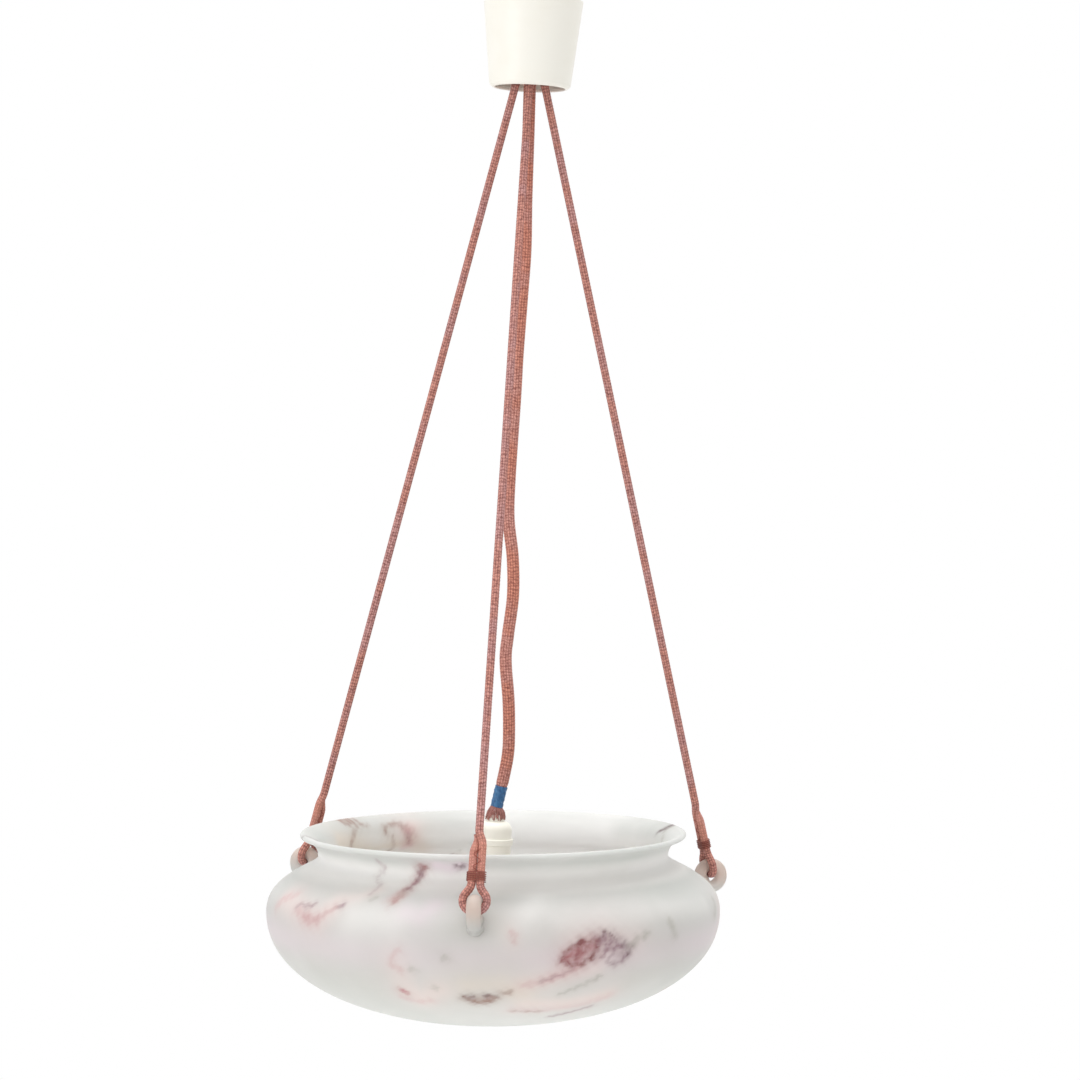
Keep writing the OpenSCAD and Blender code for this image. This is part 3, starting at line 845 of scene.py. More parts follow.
@dataclass(frozen=True)
class OpalFinish:
    """Opal or clear lamp glass."""

    name: str
    colour: Colour
    clear: float
    roughness: float

    def make(self) -> bpy.types.Material:
        """Builds the material.

        Returns:
            The material.
        """
        r = Recipe(self.name)
        dust = r.noise(300.0, 3)
        colour = r.mix(r.between(dust, 0.45, 0.8, 0.0, 0.25), self.colour,
                       tuple(0.9 * c for c in self.colour))
        r.set(Base_Color=colour, Roughness=self.roughness, IOR=1.45,
              Transmission_Weight=self.clear, Normal=r.bump(r.noise(60.0, 2), 0.1 * MM, 0.3))
        return r.material


CORD_BRAID = Braid(strands=9, cell=2.4 * MM, depth=0.32 * MM)
FLEX_BRAID = Braid(strands=14, cell=2.4 * MM, depth=0.28 * MM)


class Finish:
    """Every finish of the light, made once and shared."""

    def __init__(self) -> None:
        """Builds the materials."""
        cream = srgb(248, 246, 239)
        self.cord = BraidFinish("cord_braid", srgb(236, 167, 150), srgb(104, 48, 46),
                                srgb(230, 176, 172), srgb(220, 148, 126), CORD_BRAID).make()
        self.flex = BraidFinish("flex_braid", srgb(240, 162, 138), srgb(120, 54, 46),
                                srgb(236, 174, 162), srgb(150, 96, 84), FLEX_BRAID).make()
        self.thread = ThreadFinish("waxed_thread", srgb(118, 54, 46), srgb(166, 88, 70)).make()
        self.stitch = ThreadFinish("stitch_thread", srgb(136, 58, 48), srgb(176, 90, 70)).make()
        self.yarn = ThreadFinish("frayed_yarn", srgb(112, 60, 54), srgb(206, 142, 132)).make()
        self.bowl = GlassFinish("frosted_glass", srgb(203, 204, 202), srgb(192, 195, 192)).make()
        self.ear = GlassFinish("ear_glass", srgb(236, 219, 209), srgb(224, 204, 194),
                               roughness=0.5, clear=0.45, milk=0.5, veined=False,
                               milky=srgb(222, 222, 219)).make()
        self.cream = PlasticFinish("cream_plastic", cream).make()
        self.holder = PlasticFinish("holder_plastic", srgb(252, 250, 240), 0.34).make()
        self.block = PlasticFinish("block_plastic", srgb(232, 226, 204), 0.5).make()
        self.ceramic = PlasticFinish("insert_ceramic", srgb(238, 236, 228), 0.3,
                                     srgb(222, 216, 200), 0.3, 0.05 * MM).make()
        self.zinc = MetalFinish("zinc_steel", srgb(196, 198, 200), srgb(168, 170, 170)).make()
        self.brass = MetalFinish("brass", srgb(212, 178, 104), srgb(170, 134, 74), 0.28).make()
        self.cap = MetalFinish("cap_metal", srgb(214, 214, 212), srgb(186, 186, 184),
                               0.26).make()
        self.solder = MetalFinish("solder", srgb(160, 162, 166), srgb(130, 132, 136),
                                  0.5).make()
        self.tungsten = MetalFinish("tungsten", srgb(112, 112, 116), srgb(84, 84, 88),
                                    0.45).make()
        self.rubber = PlasticFinish("core_insulation", srgb(142, 62, 48), 0.6,
                                    srgb(96, 44, 36), 0.5, 0.05 * MM).make()
        self.tape = TapeFinish("blue_tape", srgb(64, 120, 168), srgb(36, 84, 132)).make()
        self.opal = OpalFinish("bulb_glass", srgb(244, 243, 238), 0.5, 0.3).make()
        self.stem = OpalFinish("stem_glass", srgb(226, 234, 232), 0.9, 0.08).make()


def dress(piece: bpy.types.Object, material: bpy.types.Material) -> None:
    """Gives a piece one material in all of its slots.

    Args:
        piece: The piece.
        material: Its material.
    """
    if not piece.material_slots:
        piece.data.materials.append(material)
    for slot in piece.material_slots:
        slot.link = "OBJECT"
        slot.material = material


def dress_node(name: str, material: bpy.types.Material) -> None:
    """Gives a shown CAD node its material."""
    dress(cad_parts[name], material)
    log.info("dressed %s", name)


def mount(piece: bpy.types.Object, body: str, slot: str, material: bpy.types.Material,
          *nodes: str) -> None:
    """Finishes a new piece and hangs it on its body.

    Args:
        piece: The piece.
        body: The CAD body that it moves with.
        slot: The record's material slot, which is not used.
        material: The piece's material.
        nodes: The CAD nodes that it stands for.
    """
    dress(piece, material)
    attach(piece, body)
    if nodes:
        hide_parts(*nodes)
    log.info("built %s on %s", piece.name, body)


@dataclass(frozen=True)
class SoftLamp:
    """A soft square lamp, with its width in metres and its power in watts."""

    name: str
    place: Place
    aim: Place
    size: float
    power: float

    def build(self) -> None:
        """Puts the lamp in its place, turned to what it lights."""
        data = bpy.data.lights.new(self.name, "AREA")
        data.size = self.size
        data.energy = self.power
        away = unit(np.array(self.place) - np.array(self.aim))
        side = unit(np.cross(UP, away))
        lamp = into_scene(self.name, data)
        lamp.matrix_world = placed(self.place, side, np.cross(away, side), away)


@dataclass(frozen=True)
class Studio:
    """The camera, the soft light, the white surroundings and the floor."""

    camera_place: Place = (0.0, -2.5, -0.3423)
    camera_yaw: float = 0.525
    camera_pitch: float = -1.625
    camera_roll: float = 2.5
    lens_mm: float = 108.33
    sensor_mm: float = 36.0
    surroundings: float = 0.75
    floor_level: float = -1.3
    floor_radius: float = 2.2
    floor_sides: int = 96
    far_clip: float = 50.0
    key_lamp: SoftLamp = SoftLamp("key_lamp", (-1.9, -1.8, 0.3), (0, 0, -0.45), 1.4, 17.0)
    top_lamp: SoftLamp = SoftLamp("top_lamp", (0.1, 0.2, 1.6), (0, 0, -0.6), 1.4, 36.0)

    def place_camera(self) -> None:
        """Sets the camera at the photograph's viewpoint."""
        yaw, pitch, roll = (math.radians(a) for a in
                            (self.camera_yaw, self.camera_pitch, self.camera_roll))
        ahead = np.array([math.sin(yaw) * math.cos(pitch), math.cos(yaw) * math.cos(pitch),
                          math.sin(pitch)])
        right = np.array([math.cos(yaw), -math.sin(yaw), 0.0])
        above = np.cross(right, ahead)
        right, above = (right * math.cos(roll) + above * math.sin(roll),
                        above * math.cos(roll) - right * math.sin(roll))
        data = bpy.data.cameras.new("photo_camera")
        data.lens = self.lens_mm
        data.sensor_width = self.sensor_mm
        data.clip_end = self.far_clip
        camera = into_scene("photo_camera", data)
        camera.matrix_world = placed(self.camera_place, right, above, -ahead)
        bpy.context.scene.camera = camera

    def surround(self) -> None:
        """Makes the surroundings white to the eye and softer as a light."""
        world = bpy.data.worlds.new("white_surroundings")
        bpy.context.scene.world = world
        world.use_nodes = True
        tree = world.node_tree
        tree.nodes.clear()
        seen, light = (tree.nodes.new("ShaderNodeBackground") for _ in range(2))
        light.inputs["Color"].default_value = (*srgb(255, 254, 251), 1.0)
        light.inputs["Strength"].default_value = self.surroundings
        path = tree.nodes.new("ShaderNodeLightPath")
        either = path.outputs["Is Camera Ray"]
        for name in ("Is Glossy Ray", "Is Transmission Ray"):
            most = tree.nodes.new("ShaderNodeMath")
            most.operation = "MAXIMUM"
            tree.links.new(either, most.inputs[0])
            tree.links.new(path.outputs[name], most.inputs[1])
            either = most.outputs[0]
        blend = tree.nodes.new("ShaderNodeMixShader")
        out = tree.nodes.new("ShaderNodeOutputWorld")
        tree.links.new(either, blend.inputs[0])
        tree.links.new(light.outputs[0], blend.inputs[1])
        tree.links.new(seen.outputs[0], blend.inputs[2])
        seen.inputs["Color"].default_value = (1.0, 1.0, 1.0, 1.0)
        tree.links.new(blend.outputs[0], out.inputs[0])

    def lay_floor(self) -> None:
        """Lays a round pale floor, below what the camera sees."""
        count = self.floor_sides
        angle = np.linspace(0, 2 * np.pi, count, endpoint=False)
        rim = np.stack([np.cos(angle), np.sin(angle), np.zeros(count)], axis=1)
        points = np.concatenate([rim * self.floor_radius, [[0, 0, 0]]])
        points[:, 2] += self.floor_level
        floor = mesh_piece("floor", points, [(i, (i + 1) % count, count) for i in range(count)])
        r = Recipe("floor_paint")
        tone = r.mix(r.between(r.noise(3.0, 3), 0.3, 0.7), srgb(250, 250, 249),
                     srgb(247, 247, 246))
        r.set(Base_Color=tone, Roughness=0.8)
        dress(floor, r.material)

    def build(self) -> None:
        """Sets up everything round the light."""
        self.place_camera()
        self.surround()
        self.key_lamp.build()
        self.top_lamp.build()
        self.lay_floor()
        log.info("studio ready")


@dataclass(frozen=True)
class BowlShape:
    """The bowl's outline and the way it hangs, with the sizes of the CAD model."""

    rim_r: float = 149.5 * MM
    neck_r: float = 135 * MM
    neck_drop: float = 15.5 * MM
    bowl_r: float = 175 * MM
    belly_drop: float = 57 * MM
    height: float = 142 * MM
    wall: float = 4 * MM
    fullness: float = 2.15
    lean: float = 2.5
    rim_drop: float = 642 * MM
    balance_drop: float = 71 * MM
    lip_in: float = 9 * MM
    lip_down: float = 3 * MM
    neck_up: float = 7 * MM
    shoulder_down: float = 7.5 * MM

    def leant(self, vectors: np.ndarray) -> np.ndarray:
        """Turns vectors from the level bowl to the bowl as it hangs.

        Args:
            vectors: The level bowl's vectors.

        Returns:
            The turned vectors.
        """
        c, s = math.cos(math.radians(self.lean)), math.sin(math.radians(self.lean))
        v = np.asarray(vectors, float)
        return np.stack([v[..., 0] * c - v[..., 2] * s, v[..., 1],
                         v[..., 0] * s + v[..., 2] * c], axis=-1)

    def hung(self, points: np.ndarray) -> np.ndarray:
        """Moves points of the level bowl, whose rim is at 0, to where they hang."""
        low = np.array([0.0, 0.0, self.balance_drop])
        return self.leant(np.asarray(points, float) + low) - [0, 0, self.rim_drop] - low

    @staticmethod
    def bezier(a: Sequence[float], b: Sequence[float], c: Sequence[float],
               d: Sequence[float], count: int) -> np.ndarray:
        """Draws a bezier run of radius and height pairs, without its last point.

        Args:
            a: Its start.
            b: The handle of the start.
            c: The handle of the end.
            d: Its end.
            count: The number of points.

        Returns:
            The points.
        """
        t = np.linspace(0, 1, count, endpoint=False)[:, None]
        a, b, c, d = (np.array(p, float) for p in (a, b, c, d))
        return (1 - t) ** 3 * a + 3 * (1 - t) ** 2 * t * b + 3 * (1 - t) * t * t * c + t ** 3 * d

    def outside(self) -> np.ndarray:
        """Draws the outer outline, from the rim to the base.

        Returns:
            Its points as radius and height.
        """
        wall, drop = self.wall, self.neck_drop
        rim = self.bezier([self.rim_r - wall / 2, -wall / 4],
                          [self.rim_r - self.lip_in, -self.lip_down],
                          [self.neck_r, -self.neck_up], [self.neck_r, -drop], 16)
        shoulder = self.bezier([self.neck_r, -drop], [self.neck_r, -drop - self.shoulder_down],
                               [self.bowl_r, -self.belly_drop / 2],
                               [self.bowl_r, -self.belly_drop], 40)
        angle = np.radians(np.linspace(0, 90, 91))
        power = 2 / self.fullness
        under = np.stack([
            self.bowl_r * np.cos(angle).clip(0) ** power,
            -self.belly_drop - (self.height - self.belly_drop) * np.sin(angle) ** power], axis=1)
        under[-1, 0] = 0.0
        return np.concatenate([rim, shoulder, under])

    def inside(self) -> np.ndarray:
        """Draws the inner outline, one wall away from the outer one.

        Returns:
            Its points as radius and height.
        """
        out = self.outside()
        run = np.gradient(out, axis=0)
        run /= np.linalg.norm(run, axis=1)[:, None]
        inner = out + self.wall * np.stack([run[:, 1], -run[:, 0]], axis=1)
        inner[-1, 0] = 0.0
        return inner

    def radius_at(self, depth: float) -> float:
        """Returns the outer radius at a depth below the rim."""
        out = self.outside()[::-1]
        return float(np.interp(-depth, out[:, 1], out[:, 0]))


@dataclass(frozen=True)
class EarPlace:
    """Where one ear sits: its turn from the front, its depth and its place on the link."""

    name: str
    turn: float
    drop: float
    eye_place: int


class Side(Enum):
    """The three cords with their ears."""

    FRONT = EarPlace("front", -4.0, 35 * MM, 0)
    RIGHT = EarPlace("right", 111.5, 40.5 * MM, 1)
    LEFT = EarPlace("left", -122.0, 34 * MM, -1)


@dataclass(frozen=True)
class EarFrame:
    """The directions and points that an ear and its cord share."""

    side: Side
    bowl: BowlShape
    stand: float = 15 * MM
    ring_r: float = 9 * MM
    eye_pitch: float = 7 * MM
    bar_z: float = -47.9 * MM

    @property
    def name(self) -> str:
        """The side's name."""
        return self.side.value.name

    @property
    def outward(self) -> np.ndarray:
        """The level bowl's outward direction at this ear."""
        turn = math.radians(self.side.value.turn)
        return np.array([math.sin(turn), -math.cos(turn), 0.0])

    @property
    def sideways(self) -> np.ndarray:
        """The level bowl's direction round the rim at this ear."""
        turn = math.radians(self.side.value.turn)
        return np.array([math.cos(turn), math.sin(turn), 0.0])

    @property
    def level_centre(self) -> np.ndarray:
        """The ear's centre on the level bowl."""
        reach = self.bowl.radius_at(self.side.value.drop) + self.stand
        return reach * self.outward - self.side.value.drop * UP

    @property
    def upper_eye(self) -> np.ndarray:
        """The centre of the cord's upper eye on the link's bar."""
        return np.array([self.side.value.eye_place * self.eye_pitch, 0.0, self.bar_z])

    @property
    def bar_centre(self) -> np.ndarray:
        """The middle of the stretch of the ear's bar that the cord goes round.

        Returns:
            Its place.
        """
        centre = self.bowl.hung(self.level_centre)
        axis = self.bowl.leant(self.sideways)
        return centre + self.ring_r * unit(across(self.upper_eye - centre, axis))

    @property
    def cord_up(self) -> np.ndarray:
        """The cord's direction, from the ear to the link."""
        return unit(self.upper_eye - self.bar_centre)

    @property
    def cord_side(self) -> np.ndarray:
        """The ear's axis, made square to the cord."""
        return unit(across(self.bowl.leant(self.sideways), self.cord_up))

    @property
    def eye_axes(self) -> tuple[np.ndarray, np.ndarray, np.ndarray]:
        """The directions of the upper eye.

        Returns:
            The way down in the eye's plane, the cord's own way down, which drifts along
            the bar, and the level way across both.
        """
        across_bar = across(self.cord_up, ACROSS)
        down = -unit(across_bar)
        drift = -self.cord_up[0] / np.linalg.norm(across_bar)
        return down, down + drift * ACROSS, np.cross(ACROSS, down)

    def in_cord(self, flat: np.ndarray) -> np.ndarray:
        """Places points given as sideways and up in the cord's own plane."""
        flat = np.asarray(flat, float)
        return self.bar_centre + flat[:, :1] * self.cord_side + flat[:, 1:] * self.cord_up


def wound_pair(half: float, reach: float, pitch: float, steps: int, count: int) -> np.ndarray:
    """Winds a thread round two strands that lie side by side.

    Args:
        half: Half the distance between the strands.
        reach: The thread's distance from the middle of a strand.
        pitch: How far the thread climbs in a turn.
        steps: The number of points in a turn.
        count: The number of points in all.

    Returns:
        The points as sideways, forward and along.
    """
    at = np.arange(count)
    angle = 2 * np.pi * at / steps
    sideways = half * np.clip(3 * np.cos(angle), -1, 1) + reach * np.cos(angle)
    return np.stack([sideways, reach * np.sin(angle), pitch * at / steps], axis=1)


@dataclass(frozen=True)
class SuspensionCord:
    """One braided cord with its upper eye, its lower eye and its splice."""

    place: EarFrame
    diameter: float = 6 * MM
    bar_d: float = 9 * MM
    bar_flat: float = 2 * MM
    gap: float = 0.3 * MM
    strand_x: float = 3.05 * MM
    strand_angle: float = 40.0
    splice_length: float = 28 * MM
    splice_taper: float = 10 * MM
    tail_tip: float = 7 * MM
    tail_low: float = 6 * MM
    tail_sunk: float = 0.3 * MM
    pared: float = 0.3
    pared_run: float = 12 * MM
    upper_pared_run: float = 5 * MM
    wear: float = 0.5
    worn_below: float = 4 * MM
    worn_above: float = 10 * MM
    link_wire_r: float = 1.5 * MM
    # The runs into and out of the upper eye: depth in mm, offset in shares of strand_x.
    eye_in: Pairs = ((26, 1), (20, 1), (14, 1), (9, 1.12))
    eye_out: Pairs = (
        (9, -1.12), (14, -1), (20, -1), (26, -0.9), (34, -0.4), (44, 0))
    step: float = 0.55 * MM
    soft_step: float = 0.5 * MM
    soft_passes: int = 12
    sides: int = 40

    @property
    def eye_r(self) -> float:
        """Radius of the lower eye's bends."""
        return self.bar_d / 2 + self.gap + self.diameter / 2

    @property
    def throat_r(self) -> float:
        """Radius of the bend that closes each strand on to the other."""
        return 1.5 * self.diameter

    @property
    def throat(self) -> float:
        """Height over the ear's bar at which the two strands meet.

        Returns:
            The height.
        """
        angle, bend = math.radians(self.strand_angle), self.throat_r
        run = (self.bar_flat / 2 + self.eye_r * math.cos(angle) - self.strand_x
               - bend * (1 - math.cos(angle))) / math.sin(angle)
        return self.eye_r * math.sin(angle) + run * math.cos(angle) + bend * math.sin(angle)

    def strand(self) -> np.ndarray:
        """Draws the right half of the lower eye, from under the bar to the throat.

        Returns:
            Its points as sideways and up.
        """
        angle, bend = self.strand_angle, self.throat_r
        arc = np.radians(np.linspace(-90, angle, 24))
        low = np.stack([self.bar_flat / 2 + self.eye_r * np.cos(arc),
                        self.eye_r * np.sin(arc)], axis=1)
        close = np.radians(np.linspace(angle, 0, 10))
        high = np.stack([self.strand_x + bend * (1 - np.cos(close)),
                         self.throat - bend * np.sin(close)], axis=1)
        return np.concatenate([low, high])

    def lower_part(self) -> np.ndarray:
        """Draws the line from above the splice down round the ear to the tail's end.

        Returns:
            Its points.
        """
        right = self.strand()
        left = right * [-1, 1]
        tail = self.throat + self.splice_length
        share = np.linspace(0, 1, 14)
        jog = np.stack([self.strand_x * (1 - ease(share)), tail + self.splice_taper * share],
                       axis=1)
        tip = [[-self.strand_x, tail - self.tail_low]]
        for rise in (-MM, self.tail_tip / 2, self.tail_tip):
            beside = (self.strand_x * (1 - ease(rise / self.splice_taper)) - self.diameter / 2
                      - self.end_radius(self.tail_tip - rise, self.pared_run) + self.tail_sunk)
            tip.append([beside, tail + rise])
        return self.place.in_cord(np.concatenate([jog[::-1], right[::-1], left, tip]))

    def upper_part(self) -> np.ndarray:
        """Draws the line from the upper tail's end round the link's bar and down.

        Returns:
            Its points.
        """
        eye = self.place.upper_eye
        down, run, level = self.place.eye_axes
        r = self.link_wire_r + self.gap + self.diameter / 2
        ring = [eye + r * (math.cos(a) * level - math.sin(a) * down)
                for a in np.radians(np.linspace(-12, 192, 30))]
        before, after = ([eye + run * depth * MM + level * share * self.strand_x
                          for depth, share in pairs] for pairs in (self.eye_in, self.eye_out))
        return np.array(before + ring + after)

    def line(self) -> np.ndarray:
        """Returns the whole cord's line at even steps."""
        points = np.concatenate([self.upper_part(), self.lower_part()])
        return even_line(self.softened(points), self.step)

    def softened(self, points: np.ndarray) -> np.ndarray:
        """Rounds the joints between a line's runs.

        Args:
            points: The line's points.

        Returns:
            The rounded line.
        """
        fine = even_line(points, self.soft_step)
        for _ in range(self.soft_passes):
            fine[1:-1] = (fine[:-2] + 2 * fine[1:-1] + fine[2:]) / 4
        return fine

    def end_radius(self, run: np.ndarray | float, pared_run: float) -> np.ndarray | float:
        """Returns the radius of a pared tail, at a distance from its end."""
        return self.diameter / 2 * (self.pared + (1 - self.pared) * ease(run / pared_run))

    def radii(self, line: np.ndarray) -> np.ndarray:
        """Returns the cord's radius along its line, pared at both sewn ends."""
        run = np.arange(len(line)) * line_length(line) / (len(line) - 1)
        return np.minimum(self.end_radius(run, self.upper_pared_run),
                          self.end_radius(run[-1] - run, self.pared_run))

    def mark_splice(self, piece: bpy.types.Object) -> None:
        """Stores how far the braid's flecks are worn off near the splice.

        Args:
            piece: The cord.
        """
        height = (points_of(piece) - self.place.bar_centre) @ self.place.cord_up
        top = self.throat + self.splice_length
        worn = window(height, self.throat - self.worn_below, 10 * MM,
                      top + self.worn_above, 12 * MM)
        store(piece, "plain_share", self.wear * worn)

    def build(self, finish: Finish) -> None:
        """Builds the cord.

        Args:
            finish: The shared finishes.
        """
        name = self.place.name
        line = self.line()
        cord = Sweep(line, self.radii(line), self.sides, self.place.cord_side,
                     CORD_BRAID.relief).build(f"braided_cord_{name}")
        self.mark_splice(cord)
        mount(cord, "pendant", "cord_braid", finish.cord, f"cord_{name}")
        log.info("cord_%s is %.0f mm long", name, line_length(line) / MM)


@dataclass(frozen=True)
class SpliceStitches:
    """The thread that crosses the valley between a splice's strands, on both faces."""

    cord: SuspensionCord
    thread_r: float = 0.32 * MM
    pitch: float = 4.6 * MM
    first_level: float = 9 * MM
    last_level: float = 5 * MM
    half_width: float = 2.3 * MM
    half_rise: float = 1.6 * MM
    least_depth: float = 2.0 * MM
    lift: float = 0.15 * MM

    def seam(self, front: np.ndarray) -> np.ndarray:
        """Draws the thread's line on one face.

        Args:
            front: The way out of that face.

        Returns:
            The line's points.
        """
        cord, place = self.cord, self.cord.place
        levels = np.arange(cord.throat + self.first_level,
                           cord.throat + cord.splice_length - self.last_level, self.pitch)
        points = []
        for i, level in enumerate(levels):
            flip = 1 if i % 2 else -1
            for share in np.linspace(-1, 1, 9):
                x = flip * share * self.half_width
                square = (cord.diameter / 2) ** 2 - (abs(x) - cord.strand_x) ** 2
                depth = max(math.sqrt(max(square, 0)), self.least_depth) + self.lift
                rise = level + share * self.half_rise
                points.append(place.bar_centre + x * place.cord_side + rise * place.cord_up
                              + depth * front)
        return even_line(np.array(points), 0.4 * MM)

    def build(self, finish: Finish) -> None:
        """Sews the splice.

        Args:
            finish: The shared finishes.
        """
        place = self.cord.place
        front = np.cross(place.cord_side, place.cord_up)
        seams = [Sweep(self.seam(face * front), self.thread_r, 8, front).build("stitch")
                 for face in (-1, 1)]
        stitches = joined(f"splice_stitches_{place.name}", seams)
        mount(stitches, "pendant", "thread", finish.stitch)


@dataclass(frozen=True)
class EyeSeizing:
    """The thread that closes an upper eye, inside the cup."""

    cord: SuspensionCord
    thread_r: float = 0.27 * MM
    pitch: float = 0.62 * MM
    turns: int = 9
    turn_steps: int = 28
    drop: float = 12 * MM
    lift: float = 0.22 * MM

    def build(self, finish: Finish) -> None:
        """Winds the thread.

        Args:
            finish: The shared finishes.
        """
        cord, place = self.cord, self.cord.place
        down, run, level = place.eye_axes
        wound = wound_pair(cord.strand_x, cord.diameter / 2 + self.lift, self.pitch,
                           self.turn_steps, self.turns * self.turn_steps)
        points = (place.upper_eye + wound[:, :1] * level + wound[:, 1:2] * ACROSS
                  + (self.drop + wound[:, 2:]) * run)
        coil = Sweep(even_line(points, 0.4 * MM), self.thread_r, 6,
                     down).build(f"eye_seizing_{place.name}")
        mount(coil, "pendant", "thread", finish.thread)


@dataclass(frozen=True)
class Whipping:
    """The dark thread that is wound round both strands over a lower eye."""

    cord: SuspensionCord
    thread_d: float = 0.9 * MM
    pitch: float = 1.4 * MM
    turns: int = 5
    turn_steps: int = 40

    def build(self, finish: Finish) -> None:
        """Winds the thread.

        Args:
            finish: The shared finishes.
        """
        cord, place = self.cord, self.cord.place
        front = np.cross(place.cord_up, place.cord_side)
        start = cord.throat + self.thread_d
        wound = wound_pair(cord.strand_x, cord.diameter / 2 + cord.gap + self.thread_d / 2,
                           self.pitch, self.turn_steps, self.turns * self.turn_steps + 1)
        points = (place.bar_centre + wound[:, :1] * place.cord_side + wound[:, 1:2] * front
                  + (start + wound[:, 2:]) * place.cord_up)
        coil = Sweep(even_line(points, 0.35 * MM), self.thread_d / 2, 10,
                     place.cord_up).build(f"whipping_thread_{place.name}")
        mount(coil, "pendant", "thread", finish.thread, f"whipping_{place.name}")


class Tone(Enum):
    """The colours of the clouds, veins and painted shade in the glass."""

    MILK = srgb(254, 254, 252)
    SHADE = srgb(194, 197, 191)
    PAINTED_SHADE = srgb(160, 162, 160)
    BLUSH = srgb(232, 214, 210)
    LILAC = srgb(222, 206, 216)
    SAND = srgb(226, 212, 196)
    PINK = srgb(204, 166, 168)
    ROSE = srgb(172, 108, 114)
    PURPLE = srgb(132, 98, 112)
    RED_BROWN = srgb(108, 44, 42)
    DARK = srgb(88, 62, 68)
    BROWN = srgb(142, 110, 100)
    GREY = srgb(164, 162, 154)


@dataclass(frozen=True)
class Stroke:
    """One stroke in the glass, as a chain of turns from the front and depths in mm."""

    tone: Tone
    strength: float
    width: float
    chain: Pairs


# The strokes were placed after the photograph, on the sides that it shows.
MILKY_PATCHES = (
    Stroke(Tone.MILK, 0.5, 15, ((-36, 46), (-31, 45), (-25, 46))),
    Stroke(Tone.MILK, 0.25, 10, ((17, 46), (30, 44), (42, 44))),
    Stroke(Tone.MILK, 0.3, 9, ((48, 42), (60, 45), (68, 46))),
    Stroke(Tone.MILK, 0.3, 9, ((3, 50), (7, 45), (13, 26))),
    Stroke(Tone.MILK, 0.8, 20, ((140, 17), (165, 20), (178, 18))),
    Stroke(Tone.MILK, 0.6, 16, ((-100, 80), (-120, 66), (-150, 72))),
    Stroke(Tone.MILK, 0.6, 16, ((110, 60), (130, 84), (160, 70))),
)
# Painted shade: a darker ring round the top of the shoulder, which faces up to the lamps, a band
# on the concave neck, a patch under the front ear for its shadow, and grey patches lower down.
SHADED_PATCHES = (
    Stroke(Tone.PAINTED_SHADE, 0.36, 11, ((-179, 30), (-90, 30), (0, 30), (90, 30), (179, 30))),
    Stroke(Tone.SHADE, 0.5, 22, ((-52, 86), (-34, 92), (-28, 80))),
    Stroke(Tone.SHADE, 0.45, 16, ((44, 64), (52, 76), (40, 92))),
    Stroke(Tone.SHADE, 0.15, 14, ((-8, 24), (8, 20), (24, 15), (44, 14))),
    Stroke(Tone.SHADE, 0.4, 12, ((-14, 66), (-6, 78), (4, 74))),
    Stroke(Tone.SHADE, 0.5, 12, ((-8, 46), (-4, 50), (0, 46))),
    Stroke(Tone.SHADE, 0.4, 18, ((86, 96), (120, 104), (150, 96))),
    Stroke(Tone.SHADE, 0.4, 18, ((-92, 104), (-130, 100), (-160, 108))),
)
BLUSHES = (
    Stroke(Tone.BLUSH, 0.75, 12, ((-67, 40), (-56, 46), (-48, 50), (-45, 42))),
    Stroke(Tone.BLUSH, 0.6, 7, ((-44, 34), (-38, 31), (-34, 26))),
    Stroke(Tone.LILAC, 0.75, 8, ((-22, 38), (-18, 40), (-15, 33))),
    Stroke(Tone.LILAC, 0.8, 6, ((-17, 7), (-13, 9), (-9, 6))),
    Stroke(Tone.BLUSH, 0.8, 12, ((-24, 74), (-23, 90), (-20, 102), (-14, 94))),
    Stroke(Tone.SAND, 0.6, 11, ((-6, 89), (2, 88), (8, 97))),
    Stroke(Tone.BLUSH, 0.75, 9, ((8, 89), (17, 82), (26, 78))),
    Stroke(Tone.BLUSH, 0.75, 10, ((10, 106), (22, 108), (33, 102))),
    Stroke(Tone.BLUSH, 0.6, 14, ((20, 56), (28, 52), (36, 60))),
    Stroke(Tone.BLUSH, 0.5, 8, ((4, 49), (5, 56))),
    Stroke(Tone.SAND, 0.75, 10, ((-113, 12), (-134, 22), (-150, 20), (-155, 27))),
    Stroke(Tone.BLUSH, 0.6, 10, ((-150, 8), (-150, 18), (-158, 30))),
    Stroke(Tone.BLUSH, 0.6, 15, ((84, 60), (96, 74), (112, 80))),
    Stroke(Tone.BLUSH, 0.6, 15, ((-96, 56), (-110, 70), (-124, 90))),
    Stroke(Tone.LILAC, 0.6, 13, ((150, 90), (168, 74), (-176, 64))),
)
RED_STAIN = (
    Stroke(Tone.ROSE, 0.86, 6.2, ((18.5, 70), (21.5, 66), (24.5, 61.5))),
    Stroke(Tone.RED_BROWN, 0.9, 2.3, ((17.2, 71), (19.5, 75.5), (22.5, 74.5), (25, 69.5))),
    Stroke(Tone.RED_BROWN, 0.8, 2.0, ((25, 69.5), (26.5, 63.5), (24.5, 58), (21, 59))),
    Stroke(Tone.RED_BROWN, 0.75, 1.8, ((17.5, 67.5), (18.5, 63), (21.5, 59))),
    Stroke(Tone.RED_BROWN, 0.7, 2.2, ((20, 69.5), (23, 63.5))),
)
